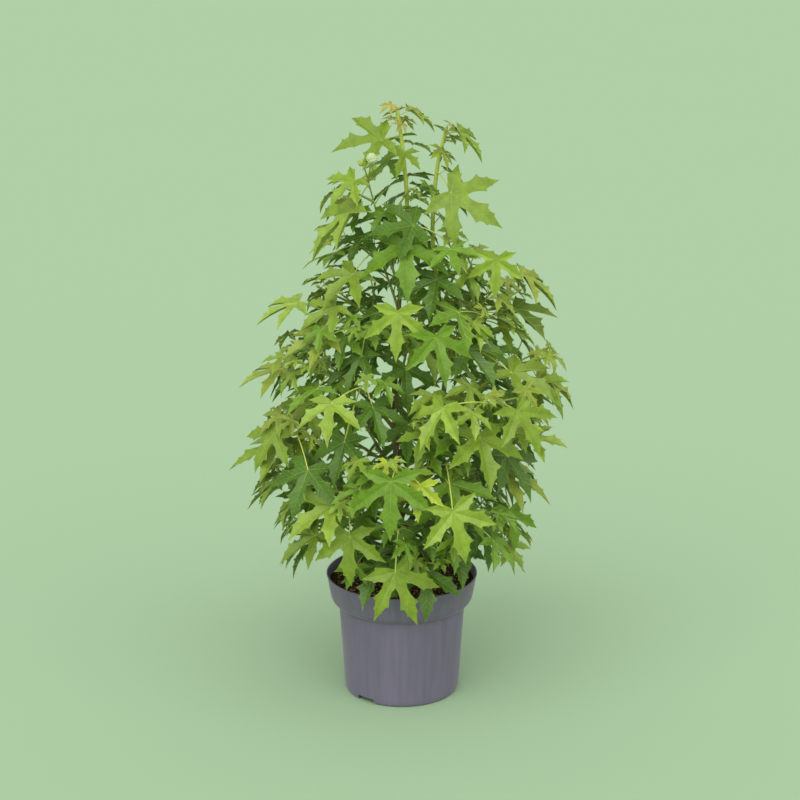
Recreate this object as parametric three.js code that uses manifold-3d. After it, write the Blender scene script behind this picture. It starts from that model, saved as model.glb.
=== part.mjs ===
// A young sweetgum in a round nursery pot: a trunk and a second stem from one foot, boughs all
// round them, and masses of star-shaped leaves on long stalks.
// Millimetres, +Z up. The origin is the middle of the pot's flat underside, -Y is the front.
import * as THREE from "three";
import { mergeVertices } from "three/addons/utils/BufferGeometryUtils.js";
import Module from "manifold-3d";

const wasm = await Module();
wasm.setup();

// ---------------------------------------------------------------- driving dimensions

const CLEAR = 0.3; // between pieces that meet
const EVENED = 0.02; // how far a joined surface may be evened out
const GOLDEN_TURN = 137.5; // degrees between one leaf and the next round a twig

const POT = {
  height: 200,
  rimRadius: 123.5, // over the lip
  bandHeight: 48, // the wide band under the lip
  bandFoot: 117, // the band's radius where it begins to curve in
  neckRadius: 103.5, // the wall under the band
  baseRadius: 94,
  baseRound: 4.5,
  wall: 2.6,
  floor: 3,
  sides: 34,
  gaps: 3, // drainage gaps through the foot of the wall
  gapWidth: 26,
  gapHeight: 6.5,
  gapDepth: 14,
  firstGap: -129, // degrees from +X
  leafRoom: 3, // between the pot and a leaf
};
const SOIL = { drop: 13, rootBall: POT.floor + CLEAR };
const GROUND = POT.height - SOIL.drop; // the top of the soil

// The two main stems: the line each follows, the height where its own wood ends and its top
// shoot begins, and its radius at the foot and at the tip.
const STEMS = {
  trunk: {
    line: [[0, 0, 170], [-2, 2, 290], [-10, -3, 430], [-10, 4, 570], [0, 1, 700], [8, -2, 805], [2, -4, 890], [-7, -4, 956]],
    woodEnd: 700,
    foot: 7,
    tip: 1.4,
  },
  second_stem: {
    line: [[-1, 1, 236], [32, -8, 345], [58, -12, 450], [70, -4, 560], [58, 2, 670], [48, -2, 760], [54, -4, 862], [68, -8, 927]],
    woodEnd: 680,
    foot: 5.4,
    tip: 1.4,
  },
};
const ROOT_FLARE = { height: 24, extra: 4 };
const STEM = { steps: 11, sides: 7 };
const STEM_WAYS = 14; // straight ways that stand for a stem's line
const WOOD_WAYS = 12; // and for its wood alone
// Boughs on the right spring from the second stem above this height.
const SECOND_STEM_BOUGHS = { above: 300, side: 0.2 };

// Tiers of boughs, from the lowest up. foot and step are where the first bough leaves its stem and
// how much higher each next one does; reach and rise are how far out and up a bough's twigs end.
// A tier whose wood is 0 has no boughs: its masses spring from the stem itself.
const TIERS = [
  { name: "low", count: 5, foot: 206, step: 6, reach: 168, rise: 66, lift: 36, turn: -100, wood: 0.34 },
  { name: "lower", count: 6, foot: 256, step: 8, reach: 206, rise: 96, lift: 36, turn: -66, wood: 0.38 },
  { name: "middle", count: 5, foot: 338, step: 11, reach: 208, rise: 112, lift: 32, turn: -98, wood: 0.36 },
  { name: "upper", count: 5, foot: 432, step: 12, reach: 186, rise: 116, lift: 28, turn: -70, wood: 0.34 },
  { name: "high", count: 4, foot: 545, step: 14, reach: 130, rise: 96, lift: 22, turn: -120, wood: 0 },
  { name: "top", count: 2, foot: 640, step: 14, reach: 84, rise: 96, lift: 14, turn: -60, wood: 0 },
  { name: "leader", count: 1, foot: 668, step: 0, reach: 52, rise: 190, lift: -6, turn: 182, wood: 0 },
];
const BOUGH = {
  foot: 3.6,
  tip: 2.2,
  sides: 5,
  steps: 3,
  azimuthPlay: 12,
  reachPlay: 0.08,
  ways: 8, // straight ways that stand for a bough's line
  room: 11, // between two boughs' middle lines
  clearFrom: 0.08, // the share of a bough beyond which that room is kept
  turns: [0, 9, -9, 18, -18, 27, -27, 36, -36],
};
const TWIG = {
  foot: 2.6,
  tip: 1.6,
  sides: 3,
  steps: 4, // along a bough's own twig; a side twig is straight
  ways: 3,
  leafEvery: 23,
  bare: 0.1, // the share of a bough's own twig without leaves
  room: 4, // between a side twig and another mass's limb
  // Side twigs fork from the first one, to the left and the right in turn.
  sideFrom: 0.1, // beyond the bough's end
  sideEvery: 0.245,
  sideTo: 0.88,
  sideFoot: 0.85, // a side twig's thickness and its leaves' size, beside the first twig's
  sideLeaf: 0.95,
  sideBare: 0.25, // the share of a side twig without leaves
  spread: 52,
  spreadPlay: 12,
  tilt: 0.5, // how far a side twig may rise or fall
  sink: 0.4,
  share: 0.52, // a side twig's length beside the first twig's
  shorter: 0.6, // how much shorter it gets towards the tip
};
const TOP_SHOOT = { leaves: 6, from: 0.62, largest: 46, smallest: 24, droop: 26, turn: 80, steps: 6, seed: 100 };

// How far the crown reaches to the left and to the right of the middle at each height.
const CROWN = [
  [160, 165, 165],
  [240, 235, 240],
  [325, 298, 280],
  [410, 272, 288],
  [493, 270, 305],
  [575, 258, 245],
  [657, 248, 270],
  [737, 180, 165],
  [815, 132, 172],
  [895, 118, 138],
  [985, 55, 85],
];

// A leaf's five lobes, as [degrees from its tip, length], and the notches between them. Lengths
// are shares of the middle lobe, which runs from the stalk to the leaf's tip.
const LOBES = [[0, 1], [56, 0.86], [112, 0.54]];
const NOTCHES = [[27, 0.47], [83, 0.38]];
const LEAF = {
  old: 86, // the middle lobe of a full-grown leaf
  young: 40, // and of the last one on a twig
  hub: 0.16, // from the stalk to the blade's thickest point
  thick: 0.032,
  curl: 0.14,
  stalk: 0.62, // a stalk's length beside its leaf, give or take a quarter
  stalkFoot: 0.8,
  stalkTip: 1.1,
  stalkAngle: 56, // between a stalk and its twig
  stalkPlay: 20,
  stalkLift: 0.15,
  aroundPlay: 50, // degrees round the twig
  outPull: 0.8, // a blade points partly along its stalk, partly straight out
  turnPlay: 56,
  droop: [42, 26], // degrees of fall, low in the crown and at its top
  droopRise: 700,
  fallPlay: 40,
  rollPlay: 50,
  sizePlay: 0.24,
  tries: 12,
  shrink: 0.04, // each try is this much smaller than the one before
  apart: 2.8, // between two leaves' faces
  near: 1.1, // how far two leaves may be and still cross, beside their sizes, and their stalks more
  nearStalks: 40,
  stalksApart: 3,
  limbApart: 2, // between a stalk and another mass's limb
  bladeApart: 0.5, // between a blade and a limb
};

// The leaves that stand out, placed before the rest: where the stalk meets the blade, the middle
// lobe's length, and the way that lobe points, as degrees round from +X, degrees of fall, and
// degrees that the blade is rolled about it.
const SHOWN = {
  over_rim: [-10, -152, 274, 94, -25, 66, 45],
  top_right: [75, -50, 836, 95, -15, 30, 55],
  top_middle: [18, -70, 790, 74, 192, 6, -50],
  top_front: [5, -75, 760, 92, -85, 48, 0],
  top_left: [-74, -30, 806, 102, 186, 42, -38],
  bud_leaf: [-31, -30, 914, 78, 190, 6, -30],
  bud_low: [-73, -40, 852, 56, 200, 36, -30],
  tip_bronze: [13, -10, 956, 50, 0, 30, 62],
  tip_right: [86, -25, 926, 60, -10, 42, 20],
  tip_back: [17, 15, 902, 38, 30, 16, 0],
  right_shoulder: [188, -15, 700, 78, -5, 35, 12],
  right_young: [144, -80, 738, 60, -92, 68, 0],
  left_shoulder: [-74, -75, 715, 74, 215, 30, -40],
  left_yellow: [-161, -60, 666, 72, 188, 18, -20],
  left_pair: [-115, -110, 624, 78, 196, 14, -40],
  middle_lime: [-6, -150, 672, 74, -97, 65, 0],
  middle_right: [51, -160, 640, 76, -60, 58, 10],
  middle_twist: [62, -200, 538, 74, 216, 48, -10],
  left_lime: [-106, -183, 540, 72, -100, 36, 0],
  far_left: [-188, -60, 560, 72, 187, 12, -25],
  far_right: [226, -20, 532, 66, -8, 33, 12],
  right_face: [170, -80, 560, 84, -20, 22, 30],
  right_star: [118, -175, 484, 88, -66, 52, 0],
  inner_right: [100, -104, 604, 78, -40, 34, 10],
  inner_left: [-44, -158, 527, 66, -62, 54, 0],
  inner_middle: [10, -128, 490, 62, -96, 56, 0],
  inner_high: [6, -96, 572, 70, -84, 60, 0],
  inner_side: [-62, -112, 594, 66, -136, 52, 0],
  inner_low: [-88, -140, 466, 74, -122, 58, 0],
  right_yellow: [205, -70, 450, 58, -10, 2, 40],
  young_star: [28, -212, 420, 56, -108, 60, 0],
  right_level: [71, -165, 408, 82, -6, 12, 40],
  wide_right: [158, -60, 396, 98, -6, 27, 30],
  big_star: [-16, -200, 432, 90, -93, 70, 0],
  left_dark: [-144, -120, 424, 82, 234, 54, -10],
  wide_left: [-194, -60, 440, 90, 190, 20, -20],
  low_left_lime: [-108, -150, 371, 86, 203, 24, -50],
  low_right_lime: [77, -192, 381, 84, -40, 70, 30],
  low_right: [170, -80, 332, 64, -62, 64, 0],
  low_right_dark: [126, -110, 314, 64, -52, 66, 0],
  soil_right: [80, -110, 287, 74, -56, 54, 0],
  low_left: [-136, -90, 296, 74, 196, 30, -40],
  front_left: [-80, -178, 326, 78, -100, 72, 0],
};
const SHOWN_STALK = 0.55; // beside the middle lobe
const SHOWN_FEET = { from: 0.04, to: 0.98, along: 20, tries: 60 }; // where on the twigs such a leaf may spring from
const SHOWN_NUDGES = [0, -14, -28, 14, -42]; // how far back a leaf that finds no room is moved

// ---------------------------------------------------------------- small helpers

const radians = (degrees) => (degrees * Math.PI) / 180;
const point = (x, y, z) => new THREE.Vector3(x, y, z);
const mix = (a, b, t) => a + (b - a) * t;
const UP = point(0, 0, 1);
const upTo = (count) => [...Array(count).keys()];

// The same numbers each run, from 0 to 1.
function seeded(seed) {
  let state = seed * 7919 + 12345;
  const next = () => (state = (state * 16807) % 2147483647) / 2147483647;
  upTo(4).forEach(next);
  return next;
}

// A closed three.js geometry as a solid.
function solid(geometry) {
  const bare = geometry.clone().deleteAttribute("normal").deleteAttribute("uv");
  const merged = mergeVertices(bare, 1e-4);
  return new wasm.Manifold(
    new wasm.Mesh({
      numProp: 3,
      vertProperties: new Float32Array(merged.attributes.position.array),
      triVerts: new Uint32Array(merged.index.array),
    }),
  );
}

// The largest of a solid's separate bodies.
function largest(manifold) {
  return manifold.decompose().reduce((a, b) => (b.volume() > a.volume() ? b : a));
}

// A solid as a geometry again.
function geometryOf(manifold) {
  const mesh = manifold.getMesh();
  return new THREE.BufferGeometry()
    .setAttribute("position", new THREE.BufferAttribute(mesh.vertProperties, 3))
    .setIndex(new THREE.BufferAttribute(mesh.triVerts, 1));
}

// A closed solid from its corners and its triangles.
function faceted(corners, triangles) {
  return solid(
    new THREE.BufferGeometry()
      .setAttribute("position", new THREE.Float32BufferAttribute(corners.flatMap((c) => c.toArray()), 3))
      .setIndex(triangles.flat()),
  );
}

// The point of a rising line at a height, found by halving.
function atHeight(line, height) {
  let [low, high] = [0, 1];
  for (let i = 0; i < 40; i++) {
    const middle = (low + high) / 2;
    if (line.getPoint(middle).z < height) low = middle;
    else high = middle;
  }
  return low;
}

// Two directions square to a line that runs along a third. The second lies towards a guide.
function squareTo(along, guide) {
  const across = guide.clone().cross(along).normalize();
  return [across, along.clone().cross(across)];
}

// The guide for a line: up, or to the front if the line itself rises steeply.
function guideFor(line, from, to) {
  const way = line.getPoint(to).sub(line.getPoint(from)).normalize();
  return Math.abs(way.z) > 0.8 ? point(0, -1, 0) : UP;
}

// A round limb that tapers: a ring of corners at each step of a part of its line, closed at both
// ends by flat faces.
function limb(line, from, to, steps, radiusAt, sides) {
  const corners = [];
  const triangles = [];
  const guide = guideFor(line, from, to);
  for (const i of upTo(steps + 1)) {
    const t = mix(from, to, i / steps);
    const [centre, along] = [line.getPoint(t), line.getTangent(t)];
    const [across, above] = squareTo(along, guide);
    for (const k of upTo(sides)) {
      const angle = (2 * Math.PI * k) / sides;
      const radius = radiusAt(t, centre);
      corners.push(
        centre.clone().addScaledVector(across, radius * Math.cos(angle)).addScaledVector(above, radius * Math.sin(angle)),
      );
    }
  }
  for (const i of upTo(steps))
    for (const k of upTo(sides)) {
      const [a, b] = [i * sides + k, i * sides + ((k + 1) % sides)];
      triangles.push([a, b, b + sides], [a, b + sides, a + sides]);
    }
  const last = steps * sides;
  for (let k = 1; k + 1 < sides; k++) triangles.push([0, k + 1, k], [last, last + k, last + k + 1]);
  return faceted(corners, triangles);
}

// A stretch of limb as ways along its middle line.
function wayOf(line, from, to, steps, radius, mass) {
  const points = upTo(steps + 1).map((i) => line.getPoint(mix(from, to, i / steps)));
  return { mass, radius, ways: upTo(steps).map((i) => [points[i], points[i + 1]]) };
}

// The least distance between the ways from p to q and from r to s.
function gapBetween(p, q, r, s) {
  const [along, other, apart] = [q.clone().sub(p), s.clone().sub(r), p.clone().sub(r)];
  const [a, b, c, d, e] = [along.dot(along), along.dot(other), other.dot(other), along.dot(apart), other.dot(apart)];
  const clamp = (t) => Math.min(1, Math.max(0, t));
  const det = a * c - b * b;
  let t = det > 1e-9 ? clamp((b * e - c * d) / det) : 0;
  const u = clamp((b * t + e) / c);
  t = clamp((b * u - d) / a);
  return p.clone().addScaledVector(along, t).distanceTo(r.clone().addScaledVector(other, u));
}

// The least distance between two sets of ways.
function gapOf(some, others) {
  return Math.min(...some.flatMap(([p, q]) => others.map(([r, s]) => gapBetween(p, q, r, s))));
}

// ---------------------------------------------------------------- pot and soil

const RIM_FOOT = POT.height - POT.bandHeight;

// The pot's outer wall from the foot to the lip, as [radius, height].
const outerWall = [
  [POT.baseRadius - POT.baseRound, 0],
  [POT.baseRadius, POT.baseRound],
  [POT.neckRadius, RIM_FOOT - 2],
  [POT.neckRadius + 4.5, RIM_FOOT],
  [mix(POT.neckRadius, POT.bandFoot, 0.72), RIM_FOOT + 4],
  [POT.bandFoot, RIM_FOOT + 13],
  [POT.rimRadius, POT.height],
];

// The outer wall moved in by a distance, and up where it is floor.
function innerWall(inset, floorHeight) {
  return outerWall.map(([radius, height], i) => [radius - inset, i === 0 ? floorHeight : Math.max(height, floorHeight + i)]);
}

function turned(profile) {
  const around = new THREE.LatheGeometry(profile.map(([r, z]) => new THREE.Vector2(r, z)), POT.sides);
  return solid(around.rotateX(Math.PI / 2));
}

function makePot() {
  const gap = new THREE.BoxGeometry(2 * POT.gapDepth, POT.gapWidth, 2 * POT.gapHeight);
  gap.translate(POT.baseRadius, 0, 0);
  let pot = turned([[0, 0], ...outerWall, ...innerWall(POT.wall, POT.floor).reverse(), [0, POT.floor]]);
  for (const i of upTo(POT.gaps)) {
    const angle = radians(POT.firstGap + (360 / POT.gaps) * i);
    pot = pot.subtract(solid(gap.clone().rotateZ(angle)));
  }
  return pot;
}

function makeSoil() {
  const wall = innerWall(POT.wall + CLEAR, SOIL.rootBall);
  const side = wall.filter(([, height]) => height < GROUND);
  const [foot, head] = [side[side.length - 1], wall[wall.length - 1]];
  const share = (GROUND - foot[1]) / (head[1] - foot[1]);
  return turned([[0, SOIL.rootBall], ...side, [mix(foot[0], head[0], share), GROUND], [0, GROUND]]);
}

// ---------------------------------------------------------------- stems

for (const stem of Object.values(STEMS))
  stem.curve = new THREE.CatmullRomCurve3(stem.line.map((p) => point(...p)), false, "catmullrom", 0.5);

// A stem's radius at a height: an even taper, with a flare where it stands on the soil.
function stemRadius(stem, height) {
  const [low, high] = [stem.line[0][2], stem.line[stem.line.length - 1][2]];
  const even = mix(stem.foot, stem.tip, (height - low) / (high - low));
  const flare = Math.max(0, 1 - Math.max(0, height - GROUND) / ROOT_FLARE.height);
  return even + ROOT_FLARE.extra * flare * flare;
}

// A stem's wood, fatter by a margin where it is used to cut what meets it. It is cut flat at the
// ground.
function stemSolid(stem, margin) {
  const end = atHeight(stem.curve, stem.woodEnd);
  const wood = limb(stem.curve, 0, end, STEM.steps, (t, p) => stemRadius(stem, p.z) + margin, STEM.sides);
  const [wide, deep] = [2 * POT.neckRadius, POT.height];
  const below = new THREE.BoxGeometry(wide, wide, deep).translate(0, 0, GROUND + CLEAR - deep / 2 - margin);
  return wood.subtract(solid(below));
}

// ---------------------------------------------------------------- the plan of boughs

// A bough and the twig that carries it on are one arc from the stem. One that would pass too near
// another limb is turned aside, a little further at each try.
function planBranches() {
  const branches = [];
  const taken = Object.values(STEMS).map((stem) => wayOf(stem.curve, 0, 1, STEM_WAYS, stem.foot, stem));
  for (const tier of TIERS)
    for (const i of upTo(tier.count)) {
      const random = seeded(branches.length + 1);
      const play = (size) => (random() * 2 - 1) * size;
      const azimuth = tier.turn + (360 / tier.count) * i + play(BOUGH.azimuthPlay);
      const height = tier.foot + tier.step * ((i * 2) % tier.count);
      const [farther, higher] = [1 + play(BOUGH.reachPlay), 1 + play(BOUGH.reachPlay)];
      const aim = (turn) => {
        const out = point(Math.cos(radians(azimuth + turn)), Math.sin(radians(azimuth + turn)), 0);
        const stem = out.x > SECOND_STEM_BOUGHS.side && height > SECOND_STEM_BOUGHS.above ? STEMS.second_stem : STEMS.trunk;
        const foot = stem.curve.getPoint(atHeight(stem.curve, height));
        const reach = tier.reach * farther - 0.5 * Math.max(0, foot.dot(out));
        const rise = tier.rise * higher;
        const middle = foot.clone().addScaledVector(out, reach * 0.5).addScaledVector(UP, rise * 0.5 + tier.lift);
        const end = foot.clone().addScaledVector(out, reach).addScaledVector(UP, rise);
        return { stem, line: new THREE.QuadraticBezierCurve3(foot, middle, end) };
      };
      const isFree = ({ stem, line }) =>
        taken.every(({ ways, mass: other }) =>
          other === stem ? true : gapOf(wayOf(line, BOUGH.clearFrom, 1, BOUGH.ways).ways, ways) > BOUGH.room,
        );
      const { stem, line } = BOUGH.turns.map(aim).find(isFree) ?? aim(0);
      taken.push(wayOf(line, BOUGH.clearFrom, 1, BOUGH.ways, BOUGH.foot));
      branches.push({ name: `${tier.name}_${i + 1}`, stem, line, wood: tier.wood, random });
    }
  return branches;
}

// ---------------------------------------------------------------- twigs and leaves

// A leaf's blade: its middle lobe points along a level direction that falls, and its face is
// turned up from there, then rolled.
function bladeOf(foot, middle, size, level, fall, roll) {
  const tip = level.clone().multiplyScalar(Math.cos(fall)).addScaledVector(UP, -Math.sin(fall));
  const face = level.clone().multiplyScalar(Math.sin(fall)).addScaledVector(UP, Math.cos(fall));
  face.applyAxisAngle(tip, roll);
  const aside = face.clone().cross(tip);
  const place = ([degrees, length]) =>
    middle
      .clone()
      .addScaledVector(tip, size * length * Math.cos(radians(degrees)))
      .addScaledVector(aside, size * length * Math.sin(radians(degrees)))
      .addScaledVector(face, -size * LEAF.curl * length * length);
  const half = [LOBES[0], NOTCHES[0], LOBES[1], NOTCHES[1], LOBES[2]];
  const other = half.slice(1).reverse().map(([degrees, length]) => [-degrees, length]);
  return { foot, middle, face, aside, tip, size, hub: place([0, LEAF.hub]), outline: [...half, ...other].map(place) };
}

// A leaf that grows from a point of a twig: where its stalk ends, and how its blade lies. The
// blade hangs out and down from its stalk and shows its face to the light.
function planLeaf(line, t, turn, size, droop, random) {
  const [foot, along] = [line.getPoint(t), line.getTangent(t)];
  const [across, above] = squareTo(along, guideFor(line, 0, 1));
  const around = turn + radians(LEAF.aroundPlay * (random() - 0.5));
  const side = across.multiplyScalar(Math.cos(around)).addScaledVector(above, Math.sin(around));
  const angle = radians(LEAF.stalkAngle + LEAF.stalkPlay * (random() - 0.5));
  const stalk = along.clone().multiplyScalar(Math.cos(angle)).addScaledVector(side, Math.sin(angle));
  stalk.addScaledVector(UP, LEAF.stalkLift).normalize();
  const middle = foot.clone().addScaledVector(stalk, size * LEAF.stalk * (0.75 + 0.5 * random()));
  const outward = point(middle.x, middle.y, 0).normalize();
  const level = point(stalk.x, stalk.y, 0).multiplyScalar(LEAF.outPull).add(outward).normalize();
  level.applyAxisAngle(UP, radians(LEAF.turnPlay * (random() - 0.5)));
  const fall = radians(droop + LEAF.fallPlay * (random() - 0.5));
  return bladeOf(foot, middle, size, level, fall, radians(LEAF.rollPlay * (random() - 0.5)));
}

// The ways that a leaf which stands out might spring from the twigs, likeliest first.
function planShown([x, y, z, size, azimuth, fall, roll], nudge, twigs) {
  const [middle, level] = [point(x, y + nudge, z), point(Math.cos(radians(azimuth)), Math.sin(radians(azimuth)), 0)];
  const leaf = bladeOf(middle, middle, size, level, radians(fall), radians(roll));
  const wanted = middle.clone().addScaledVector(leaf.tip, -size * SHOWN_STALK);
  const feet = twigs.flatMap(({ mass, line, from }) =>
    upTo(SHOWN_FEET.along + 1).map((i) => {
      const t = mix(from + SHOWN_FEET.from, SHOWN_FEET.to, i / SHOWN_FEET.along);
      return { mass, foot: line.getPoint(t) };
    }),
  );
  const distance = ({ foot }) => foot.distanceTo(wanted);
  return feet
    .sort((a, b) => distance(a) - distance(b))
    .slice(0, SHOWN_FEET.tries)
    .map(({ mass, foot }) => ({ ...leaf, mass, foot }));
}

// The leaves along a twig, largest at its foot. first is the share of the twig that is bare. Each
// leaf is a short list of ways it might lie.
function planLeaves(line, length, first, largest, droop, random) {
  const count = Math.max(2, Math.round((length * (1 - first)) / TWIG.leafEvery));
  const start = 360 * random();
  return upTo(count).map((i) => {
    const t = mix(first, 1, (i + 0.5) / count);
    const age = i / (count - 1);
    const size = mix(largest, LEAF.young, age * age) * (1 + LEAF.sizePlay * (random() - 0.5));
    const turn = radians(start + GOLDEN_TURN * i);
    return upTo(LEAF.tries).map((k) => planLeaf(line, t, turn, size * (1 - LEAF.shrink * k), droop, random));
  });
}

// One branch's twigs and leaves: the first twig carries the bough on, and side twigs fork from it.
function planMass(branch) {
  const { line, random } = branch;
  const length = line.getLength();
  const from = branch.wood ? branch.wood + CLEAR / length : 0;
  const droop = mix(...LEAF.droop, (line.getPoint(1).z - GROUND) / LEAF.droopRise);
  const ownLeaves = planLeaves(line, length, from + TWIG.bare, LEAF.old, droop, random);
  const twigs = [{ line, from, steps: TWIG.steps, foot: TWIG.foot, leaves: ownLeaves }];
  let side = random() < 0.5 ? 1 : -1;
  for (let t = from + TWIG.sideFrom; t < TWIG.sideTo; t += TWIG.sideEvery) {
    const along = line.getTangent(t);
    const [across, above] = squareTo(along, guideFor(line, 0, 1));
    const spread = radians(TWIG.spread + TWIG.spreadPlay * (random() - 0.5));
    const heading = along.clone().multiplyScalar(Math.cos(spread)).addScaledVector(across, side * Math.sin(spread));
    heading.addScaledVector(above, TWIG.tilt * (random() - TWIG.sink)).normalize();
    const foot = line.getPoint(t);
    const twigLength = length * TWIG.share * (1.15 - TWIG.shorter * t) * (0.85 + 0.3 * random());
    const twig = new THREE.LineCurve3(foot, foot.clone().addScaledVector(heading, twigLength));
    const leaves = planLeaves(twig, twigLength, TWIG.sideBare, LEAF.old * TWIG.sideLeaf, droop, random);
    twigs.push({ line: twig, from: 0, steps: 1, foot: TWIG.foot * TWIG.sideFoot, leaves });
    side = -side;
  }
  return { name: branch.name, branch, twigs };
}

// The green shoot above a stem's wood, with its own leaves.
function planTopShoot(name, number) {
  const random = seeded(TOP_SHOOT.seed + number);
  const stem = STEMS[name];
  const from = atHeight(stem.curve, stem.woodEnd + CLEAR);
  const leaves = upTo(TOP_SHOOT.leaves).map((i) => {
    const age = i / (TOP_SHOOT.leaves - 1);
    const t = mix(from, 1, mix(TOP_SHOOT.from, 1, age));
    const size = mix(TOP_SHOOT.largest, TOP_SHOOT.smallest, age) * (1 + LEAF.sizePlay * (random() - 0.5));
    const turn = radians(GOLDEN_TURN * i + TOP_SHOOT.turn * number);
    return upTo(LEAF.tries).map((k) => planLeaf(stem.curve, t, turn, size * (1 - LEAF.shrink * k), TOP_SHOOT.droop, random));
  });
  const foot = stemRadius(stem, stem.woodEnd);
  const shoot = { line: stem.curve, from, steps: TOP_SHOOT.steps, foot, tip: stem.tip, leaves };
  return { name: `${name}_top`, branch: { stem }, twigs: [shoot] };
}

// ---------------------------------------------------------------- what may stand beside what

// Whether the way from p to q passes through the triangle a, b, c.
function pierces(p, q, [a, b, c]) {
  const way = q.clone().sub(p);
  const [ab, ac, ap] = [b.clone().sub(a), c.clone().sub(a), p.clone().sub(a)];
  const h = way.clone().cross(ac);
  const scale = ab.dot(h);
  if (Math.abs(scale) < 1e-9) return false;
  const u = ap.dot(h) / scale;
  if (u < 0 || u > 1) return false;
  const k = ap.clone().cross(ab);
  const v = way.dot(k) / scale;
  if (v < 0 || u + v > 1) return false;
  const t = ac.dot(k) / scale;
  return t >= 0 && t <= 1;
}

const limbWays = []; // every limb as ways along its middle line, with its radius and its mass
const grown = []; // every leaf that has found its place

// A leaf's blade as flat triangles, and its edges, its ribs and its stalk as ways.
function forms(leaf) {
  const { outline, middle, foot } = leaf;
  leaf.triangles = leaf.triangles ?? outline.map((p, i) => [p, outline[(i + 1) % outline.length], middle]);
  leaf.ways = leaf.ways ?? [...leaf.triangles.flatMap(([a, b, m]) => [[a, b], [a, m]]), [foot, middle]];
  return leaf;
}

// Whether ways moved by up to a gap along a direction pass through triangles.
function waysMeet(ways, direction, gap, triangles) {
  return [0, gap, -gap].some((far) => {
    const shift = direction.clone().multiplyScalar(far);
    return ways.some(([p, q]) => {
      const [from, to] = [p.clone().add(shift), q.clone().add(shift)];
      return triangles.some((triangle) => pierces(from, to, triangle));
    });
  });
}

function leavesCross(a, b) {
  if (a.middle.distanceTo(b.middle) > LEAF.near * (a.size + b.size) + LEAF.nearStalks) return false;
  forms(a);
  forms(b);
  return waysMeet(a.ways, a.face, LEAF.apart, b.triangles) || waysMeet(b.ways, b.face, LEAF.apart, a.triangles);
}

// The crown's reach at a height, in a direction from the middle.
function crownReach(p) {
  const above = CROWN.findIndex(([height]) => height > p.z);
  if (above < 1) return 0;
  const [low, high] = [CROWN[above - 1], CROWN[above]];
  const share = (p.z - low[0]) / (high[0] - low[0]);
  const toRight = (1 + p.x / Math.max(1, Math.hypot(p.x, p.y))) / 2;
  return mix(mix(low[1], high[1], share), mix(low[2], high[2], share), toRight);
}

// Whether a point of a leaf is inside the crown, and clear of the pot.
function isInside(p) {
  const out = Math.hypot(p.x, p.y);
  return out < crownReach(p) && (out > POT.rimRadius + POT.leafRoom || p.z > POT.height + POT.leafRoom);
}

function isWithin(leaf) {
  return [leaf.middle, ...leaf.outline].every(isInside);
}

// Whether a leaf's stalk passes every limb of another mass, and every other stalk, at a distance,
// and its blade passes every leaf and every limb.
function fits(leaf) {
  const { foot, middle, mass, face } = leaf;
  const passes = ({ mass: other, ways, radius }) => other === mass || gapOf([[foot, middle]], ways) > radius + LEAF.limbApart;
  return (
    limbWays.every(passes) &&
    grown.every((other) => gapBetween(foot, middle, other.foot, other.middle) > LEAF.stalksApart) &&
    !grown.some((other) => leavesCross(leaf, other)) &&
    !limbWays.some(({ ways, radius }) => waysMeet(ways, face, radius + LEAF.bladeApart, forms(leaf).triangles))
  );
}

// ---------------------------------------------------------------- solids of leaves and twigs

// A leaf and its stalk in one: the blade is thickest at its hub and thin at its edge, and its heel
// is the end of a three-sided stalk.
function leafSolid({ foot, middle, hub, face, aside, size, outline }) {
  const ring = (at, out, radius) => [
    at.clone().addScaledVector(out, radius),
    at.clone().addScaledVector(out, -radius),
    at.clone().addScaledVector(face, radius),
  ];
  const along = middle.clone().sub(foot).normalize();
  const level = aside.clone().addScaledVector(along, -aside.dot(along)).normalize();
  const up = along.clone().cross(level).normalize();
  const heel = ring(middle, aside, LEAF.stalkTip);
  const root = [[1, 0], [-1, 0], [0, 1]].map(([x, y]) =>
    foot.clone().addScaledVector(level, x * LEAF.stalkFoot).addScaledVector(up, y * LEAF.stalkFoot),
  );
  const lift = (size * LEAF.thick) / 2;
  const [top, under] = [1, -1].map((way) => hub.clone().addScaledVector(face, way * lift));
  const star = outline.length;
  const [left, right, ridge, rootLeft, rootRight, rootRidge, topAt, underAt] = upTo(8).map((i) => star + i);
  const half = (star + 1) / 2;
  const below = [...upTo(half), left, right, ...upTo(star - half).map((i) => half + i)];
  const above = [...upTo(half), left, ridge, right, ...upTo(star - half).map((i) => half + i)];
  const fan = (rim, apex, flip) =>
    rim.map((p, i) => (flip ? [rim[(i + 1) % rim.length], p, apex] : [p, rim[(i + 1) % rim.length], apex]));
  const stalkSides = [[left, right, rootLeft, rootRight], [right, ridge, rootRight, rootRidge], [ridge, left, rootRidge, rootLeft]];
  const triangles = [
    ...fan(above, topAt, false),
    ...fan(below, underAt, true),
    ...stalkSides.flatMap(([a, b, c, d]) => [[a, b, d], [a, d, c]]),
    [rootLeft, rootRight, rootRidge],
  ];
  return faceted([...outline, ...heel, ...root, top, under], triangles);
}

function twigSolid({ line, from, steps, foot, tip = TWIG.tip }) {
  return limb(line, from, 1, steps, (t) => mix(foot, tip, (t - from) / (1 - from)), TWIG.sides);
}

// ---------------------------------------------------------------- the plant put together

const FINISH = {
  pot: { color: 0x6f7179, roughness: 0.55 },
  soil: { color: 0x372f18, roughness: 1 },
  bark: { color: 0x56553a, roughness: 0.9 },
  leaf: { color: 0x5c8a2c, roughness: 0.6 },
};
const group = new THREE.Group();
const placed = []; // every finished solid, the node it belongs to, and the box round it

function place(name, manifold) {
  placed.push({ name, manifold, box: manifold.boundingBox() });
}

function addNode(name, manifold, finish) {
  const mesh = new THREE.Mesh(geometryOf(manifold), new THREE.MeshStandardMaterial({ ...FINISH[finish], metalness: 0 }));
  mesh.name = name;
  group.add(mesh);
}

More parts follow.
